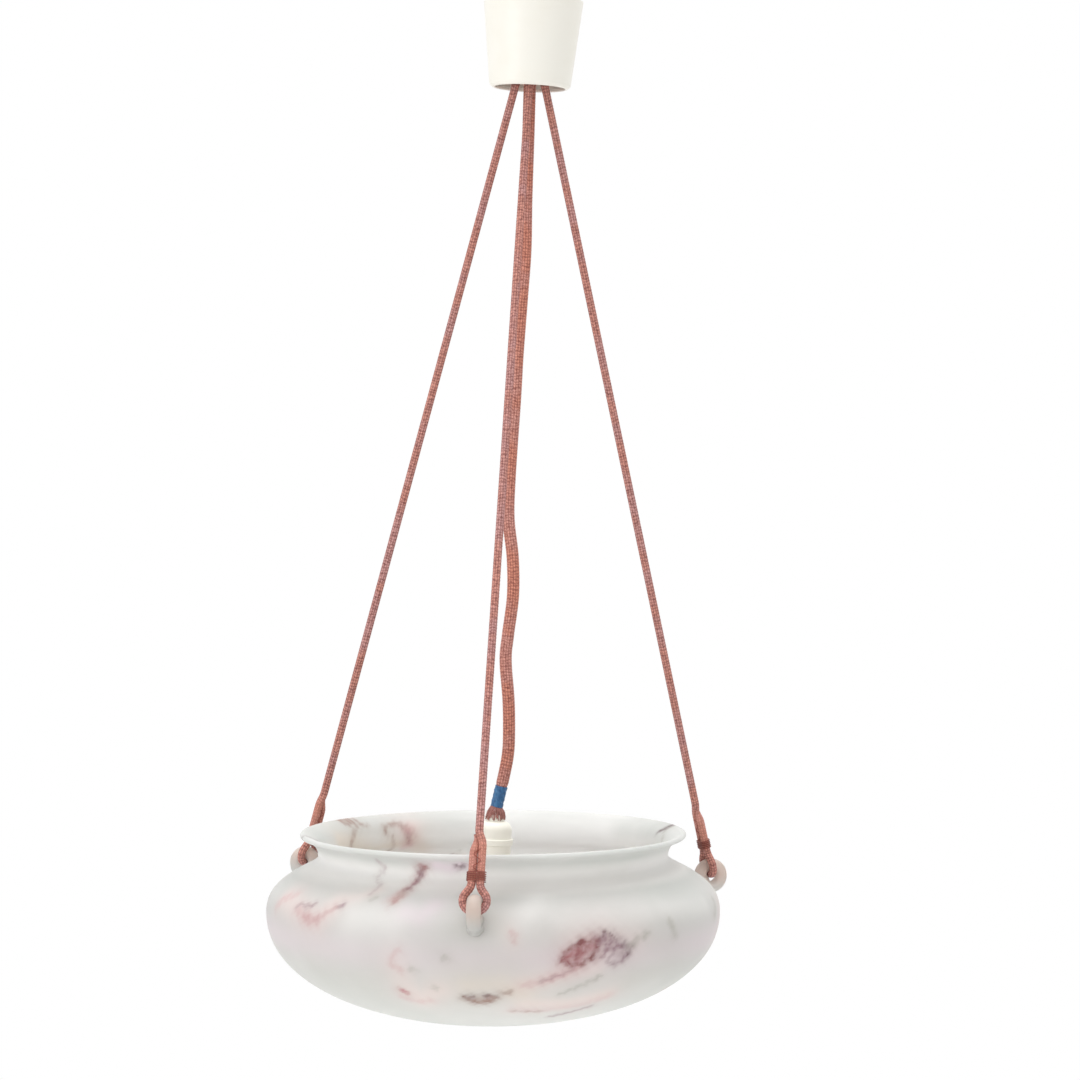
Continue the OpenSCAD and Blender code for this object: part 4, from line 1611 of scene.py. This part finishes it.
LACE = (
    Stroke(Tone.PURPLE, 0.42, 6.0, ((26.5, 57), (30, 58), (32, 66), (33, 71))),
    Stroke(Tone.DARK, 0.72, 1.5, ((26, 58), (28, 52.5), (30, 54.5), (31, 59.5))),
    Stroke(Tone.PURPLE, 0.7, 1.4, ((31, 59.5), (28.5, 62), (26.5, 60.5), (28, 57))),
    Stroke(Tone.PURPLE, 0.7, 1.6, ((27, 71), (28.5, 65.5), (31, 64.5), (33.5, 63.5))),
    Stroke(Tone.DARK, 0.78, 2.2, ((33.5, 62), (35.2, 66), (34.6, 71))),
    Stroke(Tone.PURPLE, 0.6, 1.5, ((34.6, 71), (31.5, 77.5), (29, 73.5), (30.5, 70))),
    Stroke(Tone.GREY, 0.6, 2.6, ((35.5, 64), (38, 59), (41, 57))),
)
SWEEPS_UNDER_STAIN = (
    Stroke(Tone.PINK, 0.62, 3.6, ((21, 78), (16.5, 83.5), (12, 88), (8, 90))),
    Stroke(Tone.PURPLE, 0.5, 1.7, ((20, 79), (16, 83.5), (12.5, 87))),
    Stroke(Tone.GREY, 0.55, 2.0, ((28, 86), (23, 93.5), (18.5, 99))),
    Stroke(Tone.PINK, 0.36, 6.0, ((35, 104), (27, 111), (16, 113), (7, 112))),
    Stroke(Tone.PURPLE, 0.6, 2.4, ((32, 113), (27, 117), (21, 121))),
    Stroke(Tone.BROWN, 0.5, 1.5, ((15.5, 114.5), (11, 114), (6.5, 113))),
    Stroke(Tone.PINK, 0.6, 2.4, ((5, 50.5), (5, 55.5))),
    Stroke(Tone.GREY, 0.5, 2.8, ((48.5, 50.5), (50, 55), (50.5, 62))),
    Stroke(Tone.GREY, 0.45, 2.6, ((74, 56), (76, 50), (77, 45))),
)
LOW_SPOTS = (
    Stroke(Tone.BROWN, 0.85, 2.6, ((-7, 101), (-4, 104.5), (-1.5, 104), (0.5, 100))),
    Stroke(Tone.DARK, 0.85, 2.2, ((-6.8, 100.5), (-5.6, 98.8))),
    Stroke(Tone.DARK, 0.7, 1.8, ((-2.5, 98), (0.8, 99))),
    Stroke(Tone.BROWN, 0.5, 4.4, ((-5, 102), (-1, 101))),
    Stroke(Tone.ROSE, 0.75, 2.2, ((-25, 96), (-23, 98.5))),
    Stroke(Tone.PINK, 0.5, 2.4, ((-22.5, 64), (-24.5, 69), (-25, 76), (-22.5, 80.5))),
    Stroke(Tone.GREY, 0.6, 2.6, ((-11.5, 68.5), (-10.5, 69))),
    Stroke(Tone.GREY, 0.4, 2.2, ((-20, 78), (-19, 79))),
    Stroke(Tone.GREY, 0.5, 2.2, ((-15.5, 92.5), (-14.5, 93))),
    Stroke(Tone.BROWN, 0.6, 2.8, ((3, 96), (4.6, 95.5))),
    Stroke(Tone.PINK, 0.4, 3.6, ((-26, 102), (-21, 106), (-17, 104))),
)
LEFT_VEINS = (
    Stroke(Tone.BROWN, 0.85, 2.6, ((-27, 32), (-26, 28), (-25, 24))),
    Stroke(Tone.PURPLE, 0.85, 2.2, ((-25, 24), (-23.8, 20), (-23.4, 13.5))),
    Stroke(Tone.DARK, 0.8, 2.0, ((-24, 18), (-22.8, 15), (-22.8, 11))),
    Stroke(Tone.RED_BROWN, 0.8, 2.6, ((-22.3, 9), (-21, 8.8))),
    Stroke(Tone.PINK, 0.6, 4.6, ((-27, 31), (-25, 21), (-22, 10))),
    Stroke(Tone.DARK, 0.7, 2.0, ((-11.2, 6), (-9.5, 8.2), (-8.4, 5.5))),
    Stroke(Tone.PURPLE, 0.6, 1.8, ((-59, 43), (-56.5, 40.2), (-54, 41.5), (-52, 39))),
    Stroke(Tone.ROSE, 0.42, 3.2, ((-53.5, 47.5), (-48.5, 48), (-45.5, 43), (-43.5, 39.5))),
    Stroke(Tone.PINK, 0.55, 4.4, ((-58, 44), (-52, 51), (-48, 50))),
    Stroke(Tone.PINK, 0.55, 4.4, ((-70, 46), (-68, 40), (-63, 36))),
    Stroke(Tone.PURPLE, 0.65, 2.4, ((-42.6, 37.4), (-41.2, 37))),
    Stroke(Tone.GREY, 0.5, 2.0, ((-34, 31.5), (-33, 30.5))),
    Stroke(Tone.PURPLE, 0.4, 2.0, ((-35, 28), (-35.5, 22.5), (-39, 18.5), (-36, 11), (-37.5, 6))),
)
RIM_VEINS = (
    Stroke(Tone.BROWN, 0.75, 2.2, ((-122, 0), (-127, 1), (-131, 3))),
    Stroke(Tone.BROWN, 0.6, 2.4, ((-126, 3.5), (-121.5, 10.5), (-120, 17.5), (-124, 25))),
    Stroke(Tone.BROWN, 0.7, 2.8, ((-138.5, 10.5), (-139.5, 5), (-144, 3.5), (-147, 7))),
    Stroke(Tone.BROWN, 0.5, 2.2, ((-141.5, 14.5), (-142.5, 22.5), (-143, 28))),
    Stroke(Tone.PINK, 0.7, 6.0, ((-148, 9), (-148.5, 16), (-148.5, 24))),
    Stroke(Tone.RED_BROWN, 0.85, 3.2, ((-148.2, 14.5), (-148.4, 18.5))),
    Stroke(Tone.DARK, 0.85, 1.7, ((-137.5, 27.5), (-141.5, 28.5), (-145.5, 29.5))),
    Stroke(Tone.DARK, 0.85, 2.0, ((-162.5, 35.5), (-164.5, 36.7), (-167, 35))),
    Stroke(Tone.PINK, 0.5, 3.2, ((-157, 36), (-162, 38), (-170, 36))),
    Stroke(Tone.DARK, 0.85, 1.9, ((108, 3.5), (106.5, 0.8), (105, -0.8))),
    Stroke(Tone.GREY, 0.6, 2.4, ((104, 1), (101, 4), (98, 8))),
    Stroke(Tone.DARK, 0.7, 1.8, ((-78, 1), (-85.5, 4.5), (-94, 10))),
)
CLOUDS_AND_PAINTED_SHADE = MILKY_PATCHES + SHADED_PATCHES + BLUSHES
VEINS = RED_STAIN + LACE + SWEEPS_UNDER_STAIN + LOW_SPOTS + LEFT_VEINS + RIM_VEINS


@dataclass(frozen=True)
class GlassBowl:
    """The blown bowl: one dense closed shell with its veins."""

    shape: BowlShape
    columns: int = 600
    vein_warp: float = 1.5
    edge_trim: float = 0.08 * MM
    neck_pinch: float = 1.2 * MM
    outer_step: float = 1.6 * MM
    inner_step: float = 2.6 * MM
    uneven_wide: float = 0.0012
    uneven_fine: float = 0.0006
    shrink: float = 0.9995
    back_veins: int = 38
    margin: float = 20.0
    least_r: float = 130.0
    core_share: float = 0.74
    core_fade: float = 1.2
    halo_fade: float = 0.2

    def outline(self) -> np.ndarray:
        """Draws the closed outline, from the outer base over the lip to the inner base.

        Returns:
            Its points as radius and height.
        """
        out, inner = self.shape.outside(), self.shape.inside()
        middle = (out[0] + inner[0]) / 2
        reach = out[0] - middle
        lip = []
        for a in np.radians(np.linspace(0, 180, 12)[1:-1]):
            lip.append(middle + [reach[0] * math.cos(a) - reach[1] * math.sin(a),
                                 reach[0] * math.sin(a) + reach[1] * math.cos(a)])
        return np.concatenate([even_line(out, self.outer_step)[::-1], lip,
                               even_line(inner, self.inner_step)])

    def pinched(self, line: np.ndarray) -> np.ndarray:
        """Draws the foot of the neck in a little, as the blown glass sank there."""
        sunk = window(-line[:, 1], self.shape.neck_drop, 8 * MM, 44 * MM, 20 * MM)
        return line - np.stack([self.neck_pinch * sunk, 0 * sunk], axis=1)

    def shell(self) -> tuple[np.ndarray, list[Sequence[int]], np.ndarray, np.ndarray]:
        """Turns the outline into a mesh.

        Returns:
            The points, the faces, and each point's turn in degrees and depth in mm.
        """
        line = self.pinched(self.outline())
        rings = line[1:-1]
        turn = np.linspace(-180, 180, self.columns, endpoint=False)
        angle = np.radians(turn)
        uneven = (1 - self.uneven_wide * (1 + np.sin(2 * angle + 0.7))
                  - self.uneven_fine * (1 + np.sin(5 * angle)))
        radius = (rings[:, :1] - self.edge_trim) * uneven[None]
        heights = np.maximum(rings[:, 1:] * self.shrink, self.edge_trim - self.shape.height)
        points = np.stack([radius * np.sin(angle), -radius * np.cos(angle),
                           np.repeat(heights, self.columns, axis=1)], axis=-1)
        flat = points.reshape(-1, 3)
        ends = np.array([[0, 0, line[0, 1] + self.edge_trim], [0, 0, line[-1, 1]]])
        turns = np.concatenate([np.tile(turn, len(rings)), [0, 0]])
        depths = np.concatenate([np.repeat(-rings[:, 1], self.columns), -ends[:, 1]]) / MM
        faces = tube_faces(len(rings), self.columns)
        return self.shape.hung(np.concatenate([flat, ends])), faces, turns, depths

    def surface_map(self, depth: np.ndarray) -> tuple[np.ndarray, np.ndarray]:
        """Measures the outer wall.

        Args:
            depth: Depths below the rim, in mm.

        Returns:
            The radius and the length down the wall at each depth, in mm.
        """
        out = self.shape.outside() / MM
        deep = -out[:, 1]
        return np.interp(depth, deep, out[:, 0]), np.interp(depth, deep, runs_along(out))

    def scattered(self) -> tuple[Stroke, ...]:
        """Draws small seeded veins for the sides that the photograph doesn't show.

        Returns:
            The veins.
        """
        rng = np.random.default_rng(SEED)
        tones = (Tone.PINK, Tone.ROSE, Tone.PURPLE, Tone.BROWN, Tone.GREY, Tone.RED_BROWN)
        strokes = []
        for _ in range(self.back_veins):
            turn, depth = rng.uniform(66, 232), rng.uniform(34, 125)
            heading, chain = rng.uniform(0, 2 * np.pi), []
            for _ in range(int(rng.integers(2, 6))):
                chain.append((turn if turn < 180 else turn - 360, depth))
                heading += rng.normal(0, 0.7)
                turn += 2.4 * math.cos(heading)
                depth = min(132, max(30, depth + 6.5 * math.sin(heading)))
            tone = tones[int(rng.integers(len(tones)))]
            strokes.append(Stroke(tone, rng.uniform(0.35, 0.8), rng.uniform(1.6, 4.2),
                                  tuple(chain)))
        return tuple(strokes)

    @staticmethod
    def wander(turn: np.ndarray, down: np.ndarray,
               warp: float) -> tuple[np.ndarray, np.ndarray]:
        """Bends the strokes a little, so that none has an even edge.

        Args:
            turn: Each point's turn from the front.
            down: Each point's length down the wall, in mm.
            warp: How far the strokes wander, in mm.

        Returns:
            The shift round the bowl and down the wall, in mm.
        """
        wobble = [np.sin(turn * a + down * b + c) for a, b, c in
                  ((0.9, 0.31, 0.3), (-1.7, 0.53, 1.9), (3.1, -0.9, 4.0), (2.3, 1.3, 2.2))]
        return (warp * (0.6 * wobble[0] + 0.4 * wobble[2]),
                warp * (0.6 * wobble[1] + 0.4 * wobble[3]))

    def distance(self, chain: np.ndarray, arm: np.ndarray, x: np.ndarray,
                 y: np.ndarray) -> np.ndarray:
        """Measures along the wall how far points are from a stroke's chain.

        Args:
            chain: The chain's turns from the stroke's middle, and its depths in mm.
            arm: The bowl's radius at each point, in mm.
            x: Each point's place round the bowl from the stroke's middle, in mm.
            y: Each point's length down the wall, in mm.

        Returns:
            The distances in mm.
        """
        turns = np.radians(chain[:, 0])
        _, down = self.surface_map(chain[:, 1])
        best = np.full(len(x), np.inf)
        for t0, y0, t1, y1 in zip(turns, down, turns[1:], down[1:]):
            x0, x1 = t0 * arm, t1 * arm
            square = (x1 - x0) ** 2 + (y1 - y0) ** 2 + 1e-9
            share = np.clip(((x - x0) * (x1 - x0) + (y - y0) * (y1 - y0)) / square, 0, 1)
            best = np.minimum(best, np.hypot(x - x0 - share * (x1 - x0),
                                             y - y0 - share * (y1 - y0)))
        return best

    def paint(self, strokes: Sequence[Stroke], turn: np.ndarray,
              depth: np.ndarray, warp: float) -> tuple[np.ndarray, np.ndarray]:
        """Works out how much of the strokes each point shows, and in which colour.

        Args:
            strokes: The strokes to paint.
            turn: Each point's turn from the front.
            depth: Each point's depth below the rim, in mm.
            warp: How far the strokes wander, in mm.

        Returns:
            The amount from 0 to 1, and the colour.
        """
        radius, down = self.surface_map(depth)
        shift_x, shift_y = self.wander(turn, down, warp)
        clear = np.ones(len(turn))
        total = np.full(len(turn), 1e-6)
        colour = np.zeros((len(turn), 3))
        for stroke in strokes:
            chain = np.array(stroke.chain)
            far = self.margin + 2 * stroke.width
            centre = chain[:, 0].mean()
            off = (turn - centre + 180) % 360 - 180
            spread = np.degrees(far / self.least_r)
            near = np.abs(off) < np.ptp(chain[:, 0]) / 2 + spread
            near &= (depth > chain[:, 1].min() - far) & (depth < chain[:, 1].max() + far)
            arm = radius[near]
            x = np.radians(off[near]) * arm + shift_x[near]
            y = down[near] + shift_y[near]
            away = (self.distance(chain - [centre, 0], arm, x, y) / stroke.width) ** 2
            amount = stroke.strength * (self.core_share * np.exp(-self.core_fade * away)
                                        + (1 - self.core_share) * np.exp(-self.halo_fade * away))
            clear[near] *= 1 - amount
            total[near] += amount
            colour[near] += amount[:, None] * np.array(stroke.tone.value)
        return 1 - clear, colour / total[:, None]

    def build(self, finish: Finish) -> None:
        """Builds the bowl.

        Args:
            finish: The shared finishes.
        """
        points, faces, turn, depth = self.shell()
        bowl = mesh_piece("blown_bowl", points, faces)
        inside = np.arange(len(points)) >= (depth[:-2].argmin() // self.columns) * self.columns
        inside[-2:] = False, True
        # Painted light: the inside is lightened from the rim down, and the outside on its shaded
        # neck and faintly below.
        milk = np.where(inside, ease((depth - 5) / 17),
                        window(depth, 5, 10, 29, 7) + 0.1 * ease((depth - 46) / 24))
        store(bowl, "painted_light_share", milk)
        # The cloud attributes carry the glass's tints and painted shade; the vein attributes carry
        # its stains.
        for kind, strokes, warp in (("cloud", CLOUDS_AND_PAINTED_SHADE, 0.0),
                                    ("vein", VEINS + self.scattered(), self.vein_warp)):
            amount, colour = self.paint(strokes, turn, depth, warp)
            store(bowl, f"{kind}_amount", amount)
            store(bowl, f"{kind}_colour", np.pad(colour, ((0, 0), (0, 1)), constant_values=1))
        mount(bowl, "pendant", "frosted_glass", finish.bowl, "glass_bowl")


@dataclass(frozen=True)
class GlassEar:
    """A ring of hot glass, pressed on to the shoulder by a melted foot."""

    place: EarFrame
    bar_d: float = 9 * MM
    bar_flat: float = 2 * MM
    foot_slope: float = 30.0
    voxel: float = 0.75 * MM
    relax_share: float = 0.5
    relax_passes: int = 9
    foot_blobs: int = 7
    foot_from: float = 0.42
    foot_to: float = 0.97
    foot_extra: float = 0.4 * MM
    foot_flat: float = 0.9 * MM
    foot_spread: float = 1.6 * MM
    spread_from: float = 0.6
    chin_place: Place = (-8 * MM, 0.0, -12.5 * MM)
    chin_radii: Place = (7 * MM, 6.4 * MM, 4.2 * MM)
    chin_tilt: float = 34.0

    def world(self, local: np.ndarray) -> np.ndarray:
        """Places points of the ear on the bowl as it hangs.

        Args:
            local: The points from the ear's centre, as outward, sideways and up.

        Returns:
            The places.
        """
        p = self.place
        local = np.asarray(local, float)
        level = (p.level_centre + local[:, :1] * p.outward + local[:, 1:2] * p.sideways
                 + local[:, 2:] * UP)
        return p.bowl.hung(level)

    def ring(self) -> bpy.types.Object:
        """Makes the ring with its flattened bar.

        Returns:
            The ring.
        """
        half, r = self.bar_flat / 2, self.bar_d / 2
        section = np.array([
            (r * math.cos(a), r * math.sin(a) + math.copysign(half, math.sin(a)))
            for a in np.linspace(0, 2 * np.pi, 28, endpoint=False)])
        around = np.linspace(0, 2 * np.pi, 64, endpoint=False)
        points = []
        for a in around:
            reach = self.place.ring_r + section[:, 0]
            points.append(np.stack([reach * math.cos(a), section[:, 1], reach * math.sin(a)], 1))
        points = np.concatenate(points)
        faces = grid_faces(len(around) + 1, len(section)) % len(points)
        return mesh_piece("ear_ring", self.world(points), faces)

    def blob(self, centre: Place, radii: Place, tilt: float) -> bpy.types.Object:
        """Makes an egg of soft glass.

        Args:
            centre: Its place from the ear's centre, as outward, sideways and up.
            radii: Its radii along those directions.
            tilt: Its turn about the sideways direction.

        Returns:
            The egg.
        """
        c, s = math.cos(math.radians(tilt)), math.sin(math.radians(tilt))
        points = []
        for a in np.linspace(0, np.pi, 16):
            for b in np.linspace(0, 2 * np.pi, 24, endpoint=False):
                x, y, z = (radii[0] * math.sin(a) * math.cos(b),
                           radii[1] * math.sin(a) * math.sin(b), radii[2] * math.cos(a))
                points.append((centre[0] + c * x + s * z, centre[1] + y,
                               centre[2] - s * x + c * z))
        return mesh_piece("ear_blob", self.world(np.array(points)), grid_faces(16, 24))

    def build(self, finish: Finish) -> None:
        """Builds the ear.

        Args:
            finish: The shared finishes.
        """
        slope = math.radians(self.foot_slope)
        reach = self.place.stand / math.cos(slope)
        parts = [self.ring()]
        for share in np.linspace(self.foot_from, self.foot_to, self.foot_blobs):
            out, drop = -reach * share * math.cos(slope), -reach * share * math.sin(slope)
            width = (self.bar_d / 2 + self.foot_extra
                     + self.foot_spread * max(0.0, share - self.spread_from))
            radii = (width, width + self.foot_flat, width)
            parts.append(self.blob((out, 0, drop), radii, 0))
        parts.append(self.blob(self.chin_place, self.chin_radii, self.chin_tilt))
        ear = joined(f"melted_ear_{self.place.name}", parts)
        remesh = ear.modifiers.new("melt", "REMESH")
        remesh.mode = "VOXEL"
        remesh.voxel_size = self.voxel
        relax = ear.modifiers.new("relax", "SMOOTH")
        relax.factor = self.relax_share
        relax.iterations = self.relax_passes
        bake_modifiers(ear)
        ear.data.shade_smooth()
        mount(ear, "pendant", "ear_glass", finish.ear, f"ear_{self.place.name}")


@dataclass(frozen=True)
class SupplyFlex:
    """The braided flex on its route from the terminal block to the lampholder."""

    diameter: float = 9.5 * MM
    back: float = 16 * MM
    squeezed_d: float = 8.4 * MM
    tape_start: float = 8 * MM
    tape_length: float = 16.5 * MM
    holder_x: float = -2 * MM
    fray_top: float = -616 * MM
    fray_wear: float = 0.85
    step: float = 0.62 * MM
    sides: int = 60
    # The way down, as the place to the right and the height in mm.
    route: Pairs = (
        (0, -32), (0, -50), (0, -70), (0.5, -105), (1, -150), (2, -190), (1, -225),
        (-0.5, -270), (-1, -305), (-2.5, -365), (-2, -398), (2.5, -428), (4, -458),
        (1.5, -488), (0.5, -508), (4, -538), (5.5, -562), (5.5, -580), (3, -598), (-2, -624))

    def points(self) -> list[Place]:
        """Returns the route's own points in metres."""
        return [(x * MM, self.back, z * MM) for x, z in self.route]

    def end_frame(self) -> tuple[np.ndarray, np.ndarray, np.ndarray, np.ndarray]:
        """Gives the frame of the flex's last run, where the tape and the fray are.

        Returns:
            The start of the run, its direction, and two directions across it.
        """
        before, last = (np.array(p) for p in self.points()[-2:])
        along = unit(last - before)
        side = unit(across(ACROSS, along))
        return before, along, side, np.cross(along, side)

    def build(self, finish: Finish) -> None:
        """Builds the braided tube from the cup to its frayed end.

        Args:
            finish: The shared finishes.
        """
        line = smooth_line(self.points(), self.step)
        run = np.arange(len(line)) * self.step
        before = self.end_frame()[0]
        past = run - run[np.abs(line - before).sum(axis=1).argmin()] - self.tape_start
        tied = window(past, -3 * MM, 4 * MM, self.tape_length + MM, 3 * MM)
        squeeze = 1 - (1 - self.squeezed_d / self.diameter) * tied
        radius = self.diameter / 2 * (0.9 + 0.1 * ease(run / (4 * MM))) * squeeze
        flex = Sweep(line, radius, self.sides, BACK, FLEX_BRAID.relief).build("braided_flex")
        frayed = ease((self.fray_top - points_of(flex)[:, 2]) / (6 * MM))
        store(flex, "plain_share", self.fray_wear * frayed)
        mount(flex, "flex", "flex_braid", finish.flex, "flex")
        log.info("flex is %.0f mm long", line_length(line) / MM)


@dataclass(frozen=True)
class FlexCores:
    """The flex's two insulated cores, where they leave the braid at both ends."""

    flex: SupplyFlex
    core_d: float = 2.2 * MM
    core_slack: float = 0.1 * MM
    core_pitch: float = 4 * MM
    pole_pitch: float = 9 * MM
    contact_x: float = 4.4 * MM
    sides: int = 14

    def pair(self, name: str, radius: float, middle: float,
             route: Pairs) -> list[bpy.types.Object]:
        """Makes two cores that mirror each other.

        Args:
            name: The cores' name before they are joined.
            radius: A core's radius.
            middle: Where the mirror stands, from the light's own middle.
            route: A core's way, as the distance from the mirror and the height in mm.

        Returns:
            The two cores.
        """
        cores = []
        for side in (-1, 1):
            way = [(middle + side * x, self.flex.back, z * MM) for x, z in route]
            cores.append(Sweep(smooth_line(way, 0.5 * MM), radius, self.sides).build(name))
        return cores

    def build(self, finish: Finish) -> None:
        """Builds the ends up to the clamps and the tails down to the contacts.

        Args:
            finish: The shared finishes.
        """
        half, wide = self.core_pitch / 2, self.pole_pitch / 2
        high = ((half, -31.7), (half, -30), ((half + wide) / 2, -26.2), (wide, -22.2), (wide, -15))
        ends = self.pair("core", self.core_d / 2 - self.core_slack, 0.0, high)
        low = ((half, -625.1), (half, -635.7), (self.contact_x, -642.6), (self.contact_x, -646.9))
        tails = self.pair("tail", self.core_d / 2, self.flex.holder_x, low)
        mount(joined("flex_core_ends", ends), "cores", "core_insulation", finish.rubber,
              "flex_cores")
        mount(joined("holder_core_tails", tails), "flex", "core_insulation", finish.rubber,
              "core_tails")


@dataclass(frozen=True)
class TapeSleeve:
    """The insulating tape: overlapping turns with a step at each edge."""

    flex: SupplyFlex
    rings: int = 64
    sides: int = 56
    pitch: float = 6.5 * MM
    lap: float = 0.24 * MM
    edge: float = 0.06
    uneven: float = 0.12 * MM
    thickness: float = 0.5 * MM
    inner_gap: float = 0.05 * MM

    def build(self, finish: Finish) -> None:
        """Winds the tape.

        Args:
            finish: The shared finishes.
        """
        flex, sides = self.flex, self.sides
        start, along, cross, second = flex.end_frame()
        outer, inner = [], []
        for i in range(self.rings):
            run = flex.tape_length * i / (self.rings - 1)
            for k in range(sides):
                a = 2 * math.pi * k / sides
                step = (run / self.pitch + k / sides) % 1
                rise = self.lap * (1 - step) * min(1, step / self.edge)
                bend = self.uneven * math.sin(3 * a + 9 * run / self.pitch)
                r = flex.squeezed_d / 2 + self.thickness + rise + bend
                ring = math.cos(a) * cross + math.sin(a) * second
                base = start + along * (flex.tape_start + run)
                outer.append(base + r * ring)
                inner.append(base + (flex.squeezed_d / 2 + self.inner_gap) * ring)
        count = self.rings * sides
        faces = [*grid_faces(self.rings, sides), *grid_faces(self.rings, sides, count)[:, ::-1]]
        last = count - sides
        for k in range(sides):
            j = (k + 1) % sides
            faces.append((k, count + k, count + j, j))
            faces.append((last + k, last + j, count + last + j, count + last + k))
        tape = mesh_piece("wound_tape", np.array(outer + inner), faces)
        mount(tape, "flex", "blue_tape", finish.tape, "tape_sleeve")


@dataclass(frozen=True)
class FrayedEnd:
    """The loose yarn ends at the cut end of the braid, with their ranges in mm."""

    flex: SupplyFlex
    yarns: int = 84
    yarn_r: float = 0.34 * MM
    root_r: float = 4.1 * MM
    root_back: tuple[float, float] = (1.5, 2.4)
    bow_r: tuple[float, float] = (6.2, 7.0)
    bow_z: tuple[float, float] = (-627.4, -626.6)
    tip_r: tuple[float, float] = (7.4, 7.9)
    tip_z: tuple[float, float] = (-632.4, -629.4)

    def build(self, finish: Finish) -> None:
        """Lays the yarns over the lampholder's cap.

        Args:
            finish: The shared finishes.
        """
        rng = np.random.default_rng(SEED)
        _, along, cross, second = self.flex.end_frame()
        end = np.array(self.flex.points()[-1])
        neck = np.array([self.flex.holder_x, self.flex.back, 0.0])
        strands = []
        for i in range(self.yarns):
            a = 2 * math.pi * i / self.yarns + rng.normal(0, 0.05)
            out = math.cos(a) * cross + math.sin(a) * second
            level = unit(across(out, UP))
            root = end - along * rng.uniform(*self.root_back) * MM + out * self.root_r
            bow = neck + level * rng.uniform(*self.bow_r) * MM + UP * rng.uniform(*self.bow_z) * MM
            tip = neck + level * rng.uniform(*self.tip_r) * MM + UP * rng.uniform(*self.tip_z) * MM
            tip += np.cross(UP, level) * rng.normal(0, 0.5) * MM
            line = smooth_line([tuple(root), tuple((root + bow) / 2 + out * 0.3 * MM),
                                tuple(bow), tuple(tip)], 0.5 * MM)
            strands.append(Sweep(line, self.yarn_r, 6, level + 0.3 * UP).build("yarn"))
        fray = joined("frayed_yarn_ends", strands)
        mount(fray, "flex", "flex_braid", finish.yarn)


class CeilingFixing:
    """The plate, hook, link, terminal block and cup, whose CAD shapes are right."""

    def build(self, finish: Finish) -> None:
        """Dresses the fixing.

        Args:
            finish: The shared finishes.
        """
        for node in ("ceiling_plate", "ceiling_hook", "hook_nut", "block_screw",
                     "terminal_screws", "cup_screw", "cup_nut", "suspension_link"):
            dress_node(node, finish.zinc)
        dress_node("terminal_block", finish.block)
        dress_node("terminal_clamps", finish.brass)
        dress_node("cup", finish.cream)


class Lampholder:
    """The small cream lampholder with its insert, shell and contacts."""

    def build(self, finish: Finish) -> None:
        """Dresses the lampholder.

        Args:
            finish: The shared finishes.
        """
        for node in ("holder_cap", "holder_ring", "holder_body"):
            dress_node(node, finish.holder)
        dress_node("holder_insert", finish.ceramic)
        dress_node("grip_screw", finish.zinc)
        for node in ("contact_screws", "screw_shell", "centre_contact"):
            dress_node(node, finish.brass)


class Bulb:
    """The screw-in bulb."""

    def build(self, finish: Finish) -> None:
        """Dresses the bulb.

        Args:
            finish: The shared finishes.
        """
        dress_node("bulb_contact", finish.solder)
        dress_node("bulb_cap", finish.cap)
        dress_node("bulb_glass", finish.opal)
        dress_node("bulb_stem", finish.stem)
        dress_node("filament", finish.tungsten)


def main() -> None:
    """Builds the light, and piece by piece."""
    logging.basicConfig(level=logging.INFO, format="%(name)s: %(message)s")
    bpy.context.scene.view_settings.view_transform = "Standard"
    Studio().build()
    finish = Finish()
    shape = BowlShape()
    for side in Side:
        cord = SuspensionCord(EarFrame(side, shape))
        for part in (cord, SpliceStitches(cord), EyeSeizing(cord), Whipping(cord)):
            part.build(finish)
    flex = SupplyFlex()
    for part in (flex, FlexCores(flex), TapeSleeve(flex), FrayedEnd(flex)):
        part.build(finish)
    GlassBowl(shape).build(finish)
    for side in Side:
        GlassEar(EarFrame(side, shape)).build(finish)
    for part in (CeilingFixing(), Lampholder(), Bulb()):
        part.build(finish)


if __name__ == "__main__":
    main()
